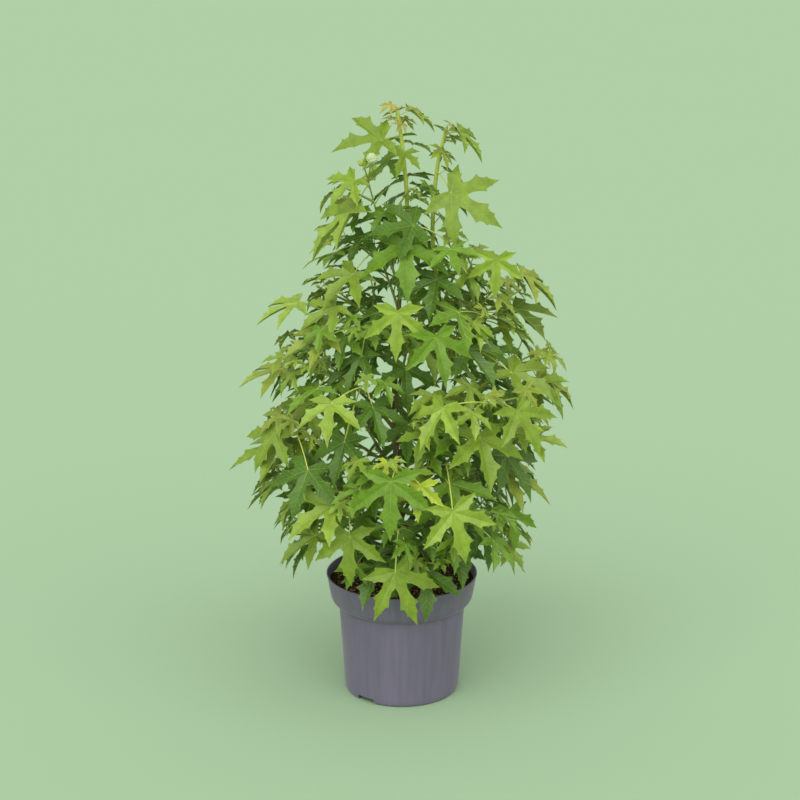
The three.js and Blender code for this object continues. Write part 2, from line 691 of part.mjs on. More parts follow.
// Whether a solid keeps its distance from every placed one, apart from those of one name.
function isClear(manifold, except) {
  const box = manifold.boundingBox();
  const near = ({ box: other }) => [0, 1, 2].every((k) => box.min[k] - 1 < other.max[k] && other.min[k] - 1 < box.max[k]);
  return placed.every((other) => other.name === except || !near(other) || other.manifold.minGap(manifold, 1) > CLEAR - 0.05);
}

addNode("pot", makePot(), "pot");
addNode("soil", makeSoil(), "soil");

STEMS.trunk.cutter = stemSolid(STEMS.trunk, CLEAR);
STEMS.second_stem.cutter = stemSolid(STEMS.second_stem, CLEAR);
for (const [name, stem] of Object.entries(STEMS)) {
  let wood = stemSolid(stem, 0);
  if (stem !== STEMS.trunk) wood = wood.subtract(STEMS.trunk.cutter);
  addNode(name, wood, "bark");
  place(name, wood);
}

const branches = planBranches();
for (const { name, line, wood } of branches.filter((branch) => branch.wood)) {
  const radiusAt = (t) => mix(BOUGH.foot, BOUGH.tip, t / wood);
  const whole = limb(line, 0, wood, BOUGH.steps, radiusAt, BOUGH.sides);
  const bough = largest(whole.subtract(STEMS.trunk.cutter).subtract(STEMS.second_stem.cutter));
  addNode(`bough_${name}`, bough, "bark");
  place(`bough_${name}`, bough);
}

const masses = [...branches.map(planMass), planTopShoot("trunk", 1), planTopShoot("second_stem", 2)];
for (const { curve, woodEnd, foot } of Object.values(STEMS))
  limbWays.push(wayOf(curve, 0, atHeight(curve, woodEnd), WOOD_WAYS, foot));
for (const mass of masses) {
  const { line, from } = mass.twigs[0];
  limbWays.push(wayOf(line, mass.branch.line ? 0 : from, 1, BOUGH.ways, BOUGH.foot, mass));
}
for (const mass of masses) {
  mass.node = `leaves_${mass.name}`;
  mass.parts = [];
  const main = mass.twigs[0];
  const whole = twigSolid(main);
  const wood = mass.branch.wood === 0 ? largest(whole.subtract(mass.branch.stem.cutter)) : whole;
  if (!isClear(wood, mass.node)) throw new Error(`${mass.node} touches another limb`);
  place(mass.node, wood);
  mass.parts.push(wood);
}
for (const mass of masses)
  mass.twigs = mass.twigs.filter((twig, i) => {
    if (i === 0) return true;
    const way = wayOf(twig.line, 0, 1, TWIG.ways, TWIG.foot, mass);
    const free = ({ mass: other, ways, radius }) => other === mass || gapOf(ways, way.ways) > radius + TWIG.room;
    if (!limbWays.every(free)) return false;
    limbWays.push(way);
    const wood = twigSolid(twig);
    if (!isClear(wood, mass.node)) throw new Error(`${mass.node}: a twig touches another node`);
    place(mass.node, wood);
    mass.parts.push(wood);
    return true;
  });

function grow(leaf) {
  grown.push(leaf);
  const made = leafSolid(leaf);
  if (isClear(made, leaf.mass.node)) leaf.mass.parts.push(made);
  place(leaf.mass.node, made);
}

const twigs = masses.flatMap((mass) => mass.twigs.map((twig) => ({ ...twig, mass })));
for (const [name, numbers] of Object.entries(SHOWN)) {
  const leafWays = SHOWN_NUDGES.flatMap((nudge) => planShown(numbers, nudge, twigs));
  const leaf = leafWays.find(fits);
  if (leaf) grow(leaf);
  else throw new Error(`${name} finds no room`);
}

for (const mass of masses)
  for (const leafWays of mass.twigs.flatMap((twig) => twig.leaves)) {
    const leaf = leafWays.map((way) => ({ ...way, mass })).find((way) => isWithin(way) && fits(way));
    if (leaf) grow(leaf);
  }
for (const mass of masses) {
  const joined = wasm.Manifold.union(mass.parts).asOriginal().simplify(EVENED);
  addNode(mass.node, joined, "leaf");
}
console.log(`${grown.length} leaves, ${group.children.length} nodes`);

export default group;
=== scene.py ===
# %% [markdown]
# # A young sweetgum in a nursery pot
# The plant is built from the ground up: the pot first, then the soil, the woody stems and boughs,
# the green twigs, and last the leaves. Each step says what the real thing is, how it could be made,
# and why this way was chosen. The packed solids say where everything stands, in metres, with the
# origin in the middle of the pot's underside, +Z up and the front towards -Y.

# %% Load the packed model
import math

import bpy
import numpy as np
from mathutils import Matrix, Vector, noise


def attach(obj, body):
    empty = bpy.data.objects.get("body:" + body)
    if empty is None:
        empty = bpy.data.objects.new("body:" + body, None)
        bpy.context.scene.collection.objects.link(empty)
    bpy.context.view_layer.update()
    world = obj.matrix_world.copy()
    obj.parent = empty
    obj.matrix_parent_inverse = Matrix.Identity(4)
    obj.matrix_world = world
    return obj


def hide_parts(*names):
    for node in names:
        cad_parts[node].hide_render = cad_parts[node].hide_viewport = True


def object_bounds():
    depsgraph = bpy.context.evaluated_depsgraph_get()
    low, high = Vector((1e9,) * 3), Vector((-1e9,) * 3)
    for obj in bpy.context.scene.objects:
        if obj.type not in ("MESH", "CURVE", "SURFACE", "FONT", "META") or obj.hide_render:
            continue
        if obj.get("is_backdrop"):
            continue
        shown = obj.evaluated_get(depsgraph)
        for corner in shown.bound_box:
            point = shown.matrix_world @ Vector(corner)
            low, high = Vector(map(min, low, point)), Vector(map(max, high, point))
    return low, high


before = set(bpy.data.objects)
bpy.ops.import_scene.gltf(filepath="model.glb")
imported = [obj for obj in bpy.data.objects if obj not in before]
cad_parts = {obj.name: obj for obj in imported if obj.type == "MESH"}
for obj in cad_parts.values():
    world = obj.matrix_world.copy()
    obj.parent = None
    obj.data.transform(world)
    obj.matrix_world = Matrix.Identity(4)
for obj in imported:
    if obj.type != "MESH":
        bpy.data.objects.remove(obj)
CAD_BOX = [list(map(float, corner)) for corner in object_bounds()]
NODES = sorted(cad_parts)
MASS_NODES = [name for name in NODES if name.startswith("leaves_")]
BOUGH_NODES = [name for name in NODES if name.startswith("bough_")]
print(len(NODES), "nodes,", len(BOUGH_NODES), "boughs,", len(MASS_NODES), "masses of leaves")
print("box", [[round(v, 3) for v in corner] for corner in CAD_BOX])

# %% [markdown]
# ## The view and the light
# A studio shot of a plant is taken from a little above the pot's rim with a long lens, so the crown
# isn't distorted. The floor could be a curved sheet of paper, but a wide flat one fills the whole
# view from this height, and it keeps its tone from edge to edge. The light is a bright even sky with
# two very soft suns. Suns light the near and the far floor alike, where lamps would leave a pool.

# %% Camera
CAMERA_PLACE = (0, -3.0, 1.37)
CAMERA_DOWN = 16.3  # degrees below level
LENS = 87.93
SIDE_SHIFT = -0.00225


def deselect():
    for picked in bpy.context.selected_objects:
        picked.select_set(False)


deselect()
bpy.ops.object.camera_add(location=CAMERA_PLACE, rotation=(math.radians(90 - CAMERA_DOWN), 0, 0))
camera = bpy.context.object
camera.data.lens = LENS
camera.data.shift_x = SIDE_SHIFT
bpy.context.scene.camera = camera
bpy.context.scene.view_settings.view_transform = "Standard"
print("lens", LENS, "mm")

# %% Light
SKY_STRENGTH = 0.81
SUNS = {  # turn from overhead about X and Y in degrees, strength, softness in degrees
    "key": (40, -26, 1.50, 55),
    "fill": (38, 32, 1.12, 65),
}

sky = bpy.data.worlds.new("sky")
sky.use_nodes = True
background = sky.node_tree.nodes["Background"]
background.inputs["Color"].default_value = (1.0, 1.0, 1.0, 1)
background.inputs["Strength"].default_value = SKY_STRENGTH
bpy.context.scene.world = sky
for name, (tilt, lean, strength, softness) in SUNS.items():
    turn = (math.radians(tilt), math.radians(lean), 0)
    bpy.ops.object.light_add(type="SUN", location=(0, 0, 3), rotation=turn)
    sun = bpy.context.object
    sun.name = name
    sun.data.energy = strength
    sun.data.angle = math.radians(softness)
print("sky", SKY_STRENGTH, "and", len(SUNS), "suns")

# %% [markdown]
# ## Writing shaders as sums
# A material is a graph of nodes. Adding each Math node by hand hides what is meant, so one small
# class wraps a socket and lets values be added, multiplied and compared like numbers. Every other
# node comes from one method that takes its type, its settings, and what goes into its sockets.

# %% Numbers in a material
class Value:
    """A socket that can be used like a number."""

    def __init__(self, paint, socket):
        self.paint, self.socket = paint, socket

    def math(self, operation, *others):
        return self.paint.node("ShaderNodeMath", {"operation": operation}, dict(enumerate((self, *others))))

    def __add__(self, other):
        return self.math("ADD", other)

    def __sub__(self, other):
        return self.math("SUBTRACT", other)

    def __rsub__(self, other):
        return (self * -1) + other

    def __mul__(self, other):
        return self.math("MULTIPLY", other)

    __radd__ = __add__
    __rmul__ = __mul__

    def size(self):
        return self.math("ABSOLUTE")

    def clamped(self):
        return self.math("ADD", 0).math("MINIMUM", 1).math("MAXIMUM", 0)

    def step(self, low, high):
        """0 below low and 1 above high, smoothly between them."""
        return self.paint.node(
            "ShaderNodeMapRange", {"interpolation_type": "SMOOTHSTEP"},
            {"Value": self, "From Min": low, "From Max": high},
        )


print("operators:", [name for name in vars(Value) if name.endswith(("add__", "sub__", "mul__"))])

# %% A material and its nodes
class Paint:
    """A material and the nodes in it."""

    def __init__(self, name, translucent=0.0):
        self.material = bpy.data.materials.new(name)
        self.material.use_nodes = True
        self.tree = self.material.node_tree
        self.shader = self.tree.nodes["Principled BSDF"]
        if translucent:
            through = self.tree.nodes.new("ShaderNodeBsdfTranslucent")
            both = self.tree.nodes.new("ShaderNodeMixShader")
            both.inputs["Fac"].default_value = translucent
            self.tree.links.new(self.shader.outputs[0], both.inputs[1])
            self.tree.links.new(through.outputs[0], both.inputs[2])
            self.tree.links.new(both.outputs[0], self.tree.nodes["Material Output"].inputs["Surface"])
            self.through = through

    def feed(self, socket, value):
        if isinstance(value, Value):
            self.tree.links.new(value.socket, socket)
        elif isinstance(value, tuple) and len(value) == 3 and socket.type == "RGBA":
            socket.default_value = (*value, 1)
        else:
            socket.default_value = value

    def node(self, kind, settings=None, inputs=None, output=0):
        made = self.tree.nodes.new(kind)
        for key, value in (settings or {}).items():
            setattr(made, key, value)
        for key, value in (inputs or {}).items():
            self.feed(made.inputs[key], value)
        return Value(self, made.outputs[output])

    def place(self, stretch=(1, 1, 1)):
        """The object's own coordinates, stretched."""
        where = self.node("ShaderNodeTexCoord", output="Object")
        return self.node("ShaderNodeMapping", inputs={"Vector": where, "Scale": stretch})

    def noise(self, scale, detail=3.0, stretch=(1, 1, 1)):
        inputs = {"Vector": self.place(stretch), "Scale": scale, "Detail": detail}
        return self.node("ShaderNodeTexNoise", inputs=inputs)

    def blend(self, share, one, other):
        """A colour between two colours."""
        return self.node("ShaderNodeMix", {"data_type": "RGBA"}, {0: share, 6: one, 7: other}, output=2)

    def bump(self, height, strength, distance):
        inputs = {"Height": height, "Strength": strength, "Distance": distance}
        return self.node("ShaderNodeBump", inputs=inputs)

    def set(self, **values):
        for key, value in values.items():
            self.feed(self.shader.inputs[key.replace("_", " ").title().replace("Ior", "IOR")], value)
        return self.material


def linear(red, green, blue):
    """A screen colour from 0 to 255 as the light it stands for."""
    return tuple(((c / 255 + 0.055) / 1.055) ** 2.4 if c > 10 else c / 3295 for c in (red, green, blue))


print("a screen's middle grey is", round(linear(128, 128, 128)[0], 3), "as light")

# %% Floor
FLOOR_SIZE = 80
FLOOR_TINT = linear(153, 180, 145)


def floor_material():
    paint = Paint("pale_floor")
    drift = paint.noise(0.6, 2.0)
    tint = paint.blend(drift * 0.2, FLOOR_TINT, tuple(c * 0.97 for c in FLOOR_TINT))
    return paint.set(base_color=tint, roughness=0.9, specular_ior_level=0.0)


deselect()
bpy.ops.mesh.primitive_plane_add(size=FLOOR_SIZE, location=(0, 0, -0.0005))
floor = bpy.context.object
floor.name = "floor"
floor.data.materials.append(floor_material())
floor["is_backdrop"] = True
print("floor", FLOOR_SIZE, "m a side")

# %% [markdown]
# ## Tools for shaping a piece
# The operators work on what is selected, so each starts by deselecting everything. A shape that is
# made from arrays, such as a joined mass of twigs, comes in as one mesh.

# %% Tools for shaping
MM = 0.001


def only(piece):
    deselect()
    piece.select_set(True)
    bpy.context.view_layer.objects.active = piece
    return piece


def in_edit(piece, *steps):
    """Runs mesh operators on a piece in edit mode."""
    only(piece)
    bpy.ops.object.mode_set(mode="EDIT")
    for step in steps:
        step()
    bpy.ops.object.mode_set(mode="OBJECT")


def modify(piece, kind, **settings):
    """Adds a modifier and applies it."""
    only(piece)
    modifier = piece.modifiers.new(kind.lower(), kind)
    for key, value in settings.items():
        setattr(modifier, key, value)
    bpy.ops.object.modifier_apply(modifier=modifier.name)


def smooth(piece, angle):
    only(piece)
    bpy.ops.object.shade_smooth_by_angle(angle=math.radians(angle))


def settle(piece):
    """Moves a piece's place, turn and size into its mesh."""
    only(piece)
    bpy.ops.object.transform_apply(location=True, rotation=True, scale=True)


def triangles(piece):
    return sum(len(face.vertices) - 2 for face in piece.data.polygons)


def piece_from(name, corners, faces, *materials, uv=None, slots=None):
    """A piece from corners in millimetres and faces, with a flat map and material numbers if given."""
    mesh = bpy.data.meshes.new(name)
    mesh.from_pydata((np.asarray(corners) * MM).tolist(), [], [tuple(map(int, face)) for face in faces])
    for material in materials:
        mesh.materials.append(material)
    if uv is not None:
        mesh.uv_layers.new(name="blade").data.foreach_set("uv", np.asarray(uv, np.float32).ravel())
    if slots is not None:
        mesh.polygons.foreach_set("material_index", np.asarray(slots, np.int32))
    mesh.update()
    piece = bpy.data.objects.new(name, mesh)
    bpy.context.scene.collection.objects.link(piece)
    return piece


def finish_piece(piece, slot, *nodes, angle=60):
    """Smooths edges under an angle; the piece takes the place of its nodes and rides on the one body."""
    if angle:
        smooth(piece, angle)
    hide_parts(*nodes)
    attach(piece, "root")
    print(piece.name, triangles(piece), "triangles")


print("arrays are in millimetres, meshes in metres:", MM)

# %% [markdown]
# ## The pot
# A nursery pot is blown or moulded in one thin skin of polypropylene: a wall that widens towards the
# top, a broad band that stiffens the rim, a rolled lip, a flat base and gaps at the foot that let
# water out. It could be turned from a profile. Here a disc is drawn upwards ring by ring, as a
# potter would raise it, because each ring is then one extrude and one resize.

# %% Pot finish
POT_GREY = linear(113, 106, 126)
POT_DARK = linear(97, 92, 109)


def pot_material():
    paint = Paint("grey_plastic")
    streaks = paint.noise(120, 3.0, (1, 1, 0.03))
    cloud = paint.noise(14, 3.0, (1, 1, 0.4))
    grain = paint.noise(900, 2.0)
    shade = (streaks.step(0.3, 0.75) * 0.5 + cloud.step(0.3, 0.7) * 0.5).clamped()
    tint = paint.blend(shade, POT_GREY, POT_DARK)
    relief = streaks * 0.6 + grain * 0.4
    return paint.set(
        base_color=tint, roughness=0.44 + cloud * 0.14, specular_ior_level=0.42,
        sheen_weight=0.22, sheen_roughness=0.35, sheen_tint=(1.0, 0.86, 0.94),
        normal=paint.bump(relief, 0.25, 0.0004),
    )


print("the pot's grey as light:", [round(c, 3) for c in POT_GREY])

# %% Raise the pot
POT_RING = 128  # corners round the pot
POT_TOP, POT_RIM = 200, 123.5  # its height, and its radius at the rim
FLOOR_THICK = 3
OUTER = [  # radius and height up the outside, from the foot to the lip
    (90.0, 0), (92.6, 0.7), (93.8, 2.4), (94.3, 5), (94.9, 12), (99.3, 84), (103.1, 146.4), (102.2, 148.8),
    (102.0, 150.4), (102.8, 151.3), (105.6, 151.6), (108.6, 152.3), (111.4, 153.9), (114.3, 157),
    (116.2, 161), (117.2, 166), (118.6, 174), (121.6, 192), (122.6, 197), (123.4, 198.6), (POT_RIM, 199.5),
    (123.0, POT_TOP),
]
INNER = [  # and down the inside
    (121.4, 200), (120.7, 199.3), (119.8, 194), (115.7, 174), (114.2, 166), (110.8, 158), (101.0, 153.4),
    (99.9, 148), (96.6, 84), (91.6, 8), (88.4, FLOOR_THICK),
]


def raise_pot():
    deselect()
    bpy.ops.mesh.primitive_circle_add(vertices=POT_RING, radius=OUTER[0][0] * MM, fill_type="NGON")
    pot = bpy.context.object
    pot.name = "nursery_pot"
    rings = OUTER + INNER

    def draw_up():
        for (radius, height), (farther, higher) in zip(rings, rings[1:]):
            up = (0, 0, (higher - height) * MM)
            bpy.ops.mesh.extrude_region_move(TRANSFORM_OT_translate={"value": up})
            share = farther / radius
            bpy.ops.transform.resize(value=(share, share, 1), center_override=(0, 0, higher * MM))

    in_edit(pot, draw_up)
    return pot


pot = raise_pot()
pot.data.materials.append(pot_material())
print("the pot has", len(OUTER) + len(INNER), "rings")

# %% Cut the gaps in its foot
FOOT_GAPS = 3
FIRST_GAP = -129  # degrees round from +X
FOOT_RADIUS = 94
FOOT_GAP = (28, 34, 16.5)  # how deep, wide and high the cutter is
GAP_CORNER = 3


def cut_foot_gaps(pot):
    """Water leaves through gaps in the foot, one to the left of the front."""
    for i in range(FOOT_GAPS):
        way = math.radians(FIRST_GAP + 360 / FOOT_GAPS * i)
        deselect()
        spot = (FOOT_RADIUS * MM * math.cos(way), FOOT_RADIUS * MM * math.sin(way), 0)
        bpy.ops.mesh.primitive_cube_add(size=1, location=spot, rotation=(0, 0, way))
        cutter = bpy.context.object
        cutter.scale = [length * MM for length in FOOT_GAP]
        settle(cutter)
        modify(cutter, "BEVEL", width=GAP_CORNER * MM, segments=4)
        modify(pot, "BOOLEAN", operation="DIFFERENCE", object=cutter, solver="EXACT")
        bpy.data.objects.remove(cutter)


cut_foot_gaps(pot)
finish_piece(pot, "pot", "pot", angle=40)

# %% [markdown]
# ## The soil
# Potting compost is peat with shreds of bark in it. From above it is a dark, lumpy disc with ochre
# and brown flecks. The lumps could be a bump in the material, but they catch the light along the
# rim, so they are moved in the mesh: a disc whose top is pushed up and down by a cloud texture.
# The bits that lie on it are small rough stones, joined into one mesh for each colour.

# %% Soil finish
SOIL_DARK = linear(38, 28, 16)
SOIL_LIGHT = linear(92, 70, 36)


def soil_material():
    paint = Paint("moist_compost")
    crumbs = paint.noise(420, 6.0)
    patches = paint.noise(60, 3.0)
    shade = (crumbs.step(0.42, 0.62) * 0.6 + patches * 0.3).clamped()
    tint = paint.blend(shade, SOIL_DARK, SOIL_LIGHT)
    return paint.set(base_color=tint, roughness=0.95, specular_ior_level=0.15,
                     normal=paint.bump(crumbs, 0.8, 0.0015))


def plain_material(name, colour, roughness=0.8, play=0.12, scale=240):
    """A base colour that clouds a little darker, for many small things of one kind."""
    paint = Paint(name)
    cloud = paint.noise(scale, 3.0)
    tint = paint.blend(cloud * 0.9, colour, tuple(c * (1 - 3 * play) for c in colour))
    return paint.set(base_color=tint, roughness=roughness, specular_ior_level=0.3,
                     normal=paint.bump(cloud, 0.3, 0.0003))


print("light crumbs are", round(SOIL_LIGHT[0] / SOIL_DARK[0], 1), "times as bright as dark ones")

# %% Lay the soil
SOIL_DROP = 13
SOIL_RADIUS = 117.6
SOIL_SIDE = [(113.2, 170), (109.2, 158.6), (99.8, 151), (87.4, 4)]  # radius and height, inside the wall
GROUND = POT_TOP - SOIL_DROP
CLODS = {"cells": 120, "wide": 0.011, "strength": 5.5}


def lay_soil():
    deselect()
    cells = CLODS["cells"]
    bpy.ops.mesh.primitive_grid_add(x_subdivisions=cells, y_subdivisions=cells, size=2 * SOIL_RADIUS * MM,
                                    location=(0, 0, GROUND * MM))
    soil = bpy.context.object
    soil.name = "compost"
    settle(soil)
    for corner in soil.data.vertices:  # a square grid drawn in to a disc, so its faces stay even
        x, y = corner.co.x, corner.co.y
        longest = max(abs(x), abs(y))
        if longest:
            share = longest / math.hypot(x, y)
            corner.co.x, corner.co.y = x * share, y * share
    clouds = bpy.data.textures.new("clods", "CLOUDS")
    clouds.noise_scale = CLODS["wide"]
    clouds.noise_depth = 4
    modify(soil, "DISPLACE", texture=clouds, texture_coords="LOCAL", strength=CLODS["strength"] * MM,
           mid_level=0.62)

    def draw_down():
        bpy.ops.mesh.select_all(action="SELECT")
        bpy.ops.mesh.region_to_loop()
        radius = SOIL_RADIUS
        for narrower, lower in SOIL_SIDE:  # each ring is flattened at its height
            down = (0, 0, (lower - GROUND) * MM * 0.1)
            bpy.ops.mesh.extrude_edges_move(TRANSFORM_OT_translate={"value": down})
            share = narrower / radius
            bpy.ops.transform.resize(value=(share, share, 0), center_override=(0, 0, lower * MM))
            radius = narrower
        bpy.ops.mesh.edge_face_add()
        bpy.ops.mesh.select_all(action="SELECT")
        bpy.ops.mesh.normals_make_consistent(inside=False)

    in_edit(soil, draw_down)
    return soil


soil = lay_soil()
soil.data.materials.append(soil_material())
finish_piece(soil, "soil", "soil")

# %% [markdown]
# ## How the plant grows
# The solids of the plant were grown by a rule, and the same rule is written again here, in
# millimetres. Two stems rise from one foot. Boughs leave them in tiers, each turned aside until it
# has room, and carry on as green twigs that fork. Leaves stand round every twig by the golden turn,
# each on its own stalk, and a leaf that would cut through another or leave the crown isn't grown.

# %% Sizes of the plant, in millimetres
CLEAR = 0.3
GOLDEN_TURN = 137.5
STEMS = {
    "trunk": {
        "line": [(0, 0, 170), (-2, 2, 290), (-10, -3, 430), (-10, 4, 570),
                 (0, 1, 700), (8, -2, 805), (2, -4, 890), (-7, -4, 956)],
        "wood_end": 700, "foot": 7, "tip": 1.4,
    },
    "second_stem": {
        "line": [(-1, 1, 236), (32, -8, 345), (58, -12, 450), (70, -4, 560),
                 (58, 2, 670), (48, -2, 760), (54, -4, 862), (68, -8, 927)],
        "wood_end": 680, "foot": 5.4, "tip": 1.4,
    },
}
ROOT_FLARE = {"height": 24, "extra": 4}

TIER_WORDS = ("name", "count", "foot", "step", "reach", "rise", "lift", "turn", "wood")
TIERS = [dict(zip(TIER_WORDS, row)) for row in [
    ("low", 5, 206, 6, 168, 66, 36, -100, 0.34),
    ("lower", 6, 256, 8, 206, 96, 36, -66, 0.38),
    ("middle", 5, 338, 11, 208, 112, 32, -98, 0.36),
    ("upper", 5, 432, 12, 186, 116, 28, -70, 0.34),
    ("high", 4, 545, 14, 130, 96, 22, -120, 0),
    ("top", 2, 640, 14, 84, 96, 14, -60, 0),
    ("leader", 1, 668, 0, 52, 190, -6, 182, 0),
]]
BOUGH = {"foot": 3.6, "tip": 2.2, "azimuth_play": 12, "reach_play": 0.08, "room": 11,
         "clear_from": 0.08, "ways": 8, "turns": (0, 9, -9, 18, -18, 27, -27, 36, -36)}
SECOND_STEM_BOUGHS = {"to_right": 0.2, "above": 300}  # those that leave the second stem
TWIG = {"foot": 2.6, "tip": 1.6, "spread": 52, "spread_play": 12, "share": 0.52, "leaf_every": 23,
        "side_from": 0.1, "side_to": 0.88, "side_every": 0.245, "side_foot": 0.85, "side_leaf": 0.95}
TOP_SHOOT = {"leaves": 6, "from": 0.62, "largest": 46, "smallest": 24, "turn": 80, "droop": 26}
CROWN = np.array([
    (160, 165, 165), (240, 235, 240), (325, 298, 280), (410, 272, 288), (493, 270, 305),
    (575, 258, 245), (657, 248, 270), (737, 180, 165), (815, 132, 172), (895, 118, 138),
    (985, 55, 85),
], float)
LOBES = [(0, 1), (56, 0.86), (112, 0.54)]
NOTCHES = [(27, 0.47), (83, 0.38)]
LEAF = {"old": 86, "young": 40, "curl": 0.14, "stalk": 0.62, "stalk_angle": 56, "stalk_play": 20,
        "around_play": 50, "turn_play": 56, "fall_play": 40, "roll_play": 50, "droop": (42, 26),
        "droop_rise": 700, "tries": 12, "shrink": 0.04, "apart": 2.8, "size_play": (0.88, 0.24)}
SPACE = {"twig": 4, "stalk": 2, "stalks": 3, "blade": 0.5}  # kept free beside a limb, or between stalks
print(sum(tier["count"] for tier in TIERS), "boughs in", len(TIERS), "tiers")

# %% Small helpers
def vec(x, y, z):
    return np.array((x, y, z), float)


def unit(v):
    return v / math.sqrt(v @ v)


def cross(a, b):
    return np.array((a[1] * b[2] - a[2] * b[1], a[2] * b[0] - a[0] * b[2], a[0] * b[1] - a[1] * b[0]))


def mix(a, b, t):
    return a + (b - a) * t


UP = vec(0, 0, 1)


def seeded(seed):
    """The same numbers each run, from 0 to 1."""
    state = seed * 7919 + 12345

    def following():
        nonlocal state
        state = state * 16807 % 2147483647
        return state / 2147483647

    for _ in range(4):
        following()
    return following


def turned(v, axis, angle):
    """v turned about an axis, right-handed."""
    along = axis * (axis @ v)
    return along + (v - along) * math.cos(angle) + cross(axis, v) * math.sin(angle)


print("the first seed starts with", round(seeded(1)(), 4))

# %% [markdown]
# ### Stems and twigs as lines
# A young stem bends a little from year to year, and a bough bows outwards. They could be drawn as
# curve objects, but the rule asks for a point and a direction anywhere along them, before anything
# has a shape. So each is a short formula: a smooth line through points, an arc, or a straight line.

# %% Lines
class Line:
    """A line from 0 to 1. A subclass gives point(t)."""

    def tangent(self, t):
        low, high = max(0, t - 1e-4), min(1, t + 1e-4)
        return unit(self.point(high) - self.point(low))

    def length(self):
        points = [self.point(i / 200) for i in range(201)]
        return sum(math.dist(a, b) for a, b in zip(points, points[1:]))


class Smooth(Line):
    """A Catmull-Rom line through points."""

    def __init__(self, points):
        p = [np.array(q, float) for q in points]
        self.points = [2 * p[0] - p[1], *p, 2 * p[-1] - p[-2]]

    def point(self, t):
        spans = len(self.points) - 3
        at = min(int(t * spans), spans - 1)
        u = t * spans - at
        before, start, end, after = self.points[at:at + 4]
        leave, arrive = (end - before) / 2, (after - start) / 2
        return (start + leave * u + (3 * (end - start) - 2 * leave - arrive) * u ** 2
                + (2 * (start - end) + leave + arrive) * u ** 3)


class Arc(Line):
    """A line from a foot to an end, drawn towards a middle point."""

    def __init__(self, foot, middle, end):
        self.foot, self.middle, self.end = foot, middle, end

    def point(self, t):
        return (1 - t) ** 2 * self.foot + 2 * (1 - t) * t * self.middle + t * t * self.end


class Straight(Line):
    def __init__(self, foot, end):
        self.foot, self.end = foot, end

    def point(self, t):
        return mix(self.foot, self.end, t)

    def tangent(self, t):
        return unit(self.end - self.foot)


def at_height(line, height):
    low, high = 0.0, 1.0
    for _ in range(40):
        middle = (low + high) / 2
        if line.point(middle)[2] < height:
            low = middle
        else:
            high = middle
    return low


def square_to(along, guide):
    across = unit(cross(guide, along))
    return across, cross(along, across)


def guide_for(line, start, end):
    way = unit(line.point(end) - line.point(start))
    return vec(0, -1, 0) if abs(way[2]) > 0.8 else UP


def stem_radius(stem, height):
    low, high = stem["line"][0][2], stem["line"][-1][2]
    even = mix(stem["foot"], stem["tip"], (height - low) / (high - low))
    flare = max(0, 1 - max(0, height - GROUND) / ROOT_FLARE["height"])
    return even + ROOT_FLARE["extra"] * flare * flare


for stem in STEMS.values():
    stem["curve"] = Smooth(stem["line"])
print("the trunk is", round(STEMS["trunk"]["curve"].length()), "mm long")

# %% [markdown]
# ### Room for each bough
# On the real plant a bough that meets another is shaded out, and no leaf grows through a leaf. Meshes
# could be tested for touching, but thousands of places are tried before the last leaf stands, so
# limbs and leaves are kept as straight ways and triangles in arrays, and all are tested at once.

# %% Distances, many at a time
def ways_of(line, start, end, steps):
    points = np.array([line.point(mix(start, end, i / steps)) for i in range(steps + 1)])
    return np.stack((points[:-1], points[1:]), 1)


def dot(one, other):
    return np.einsum("...k,...k", one, other)


def gaps(some, others):
    """The least distance of each of some ways from each of the others: arrays of (n, 2, 3)."""
    p, r = some[:, None, 0], others[None, :, 0]
    along, other, apart = some[:, None, 1] - p, others[None, :, 1] - r, p - r
    a, b, c = dot(along, along), dot(along, other), dot(other, other)
    d, e = dot(along, apart), dot(other, apart)
    det = a * c - b * b
    t = np.where(det > 1e-9, np.clip((b * e - c * d) / np.where(det > 1e-9, det, 1), 0, 1), 0)
    u = np.clip((b * t + e) / c, 0, 1)
    t = np.clip((b * u - d) / a, 0, 1)
    near = p + along * t[..., None] - r - other * u[..., None]
    return np.sqrt(dot(near, near))


def pierce(ways, triangles):
    """Whether any way (n, 2, 3) passes through any triangle (m, 3, 3)."""
    p = ways[:, None, 0]
    way = ways[:, None, 1] - p
    a = triangles[None, :, 0]
    ab, ac, ap = triangles[None, :, 1] - a, triangles[None, :, 2] - a, p - a
    h = np.cross(way, ac)
    scale = (ab * h).sum(-1)
    with np.errstate(divide="ignore", invalid="ignore"):
        u = (ap * h).sum(-1) / scale
        k = np.cross(ap, ab)
        v = (way * k).sum(-1) / scale
        t = (ac * k).sum(-1) / scale
        inside = (u >= 0) & (u <= 1) & (v >= 0) & (u + v <= 1)
        return bool(((np.abs(scale) >= 1e-9) & inside & (t >= 0) & (t <= 1)).any())


stem_gap = gaps(*(ways_of(stem["curve"], 0.5, 1, 8) for stem in STEMS.values())).min()
print("the two stems' upper halves come within", round(stem_gap), "mm")

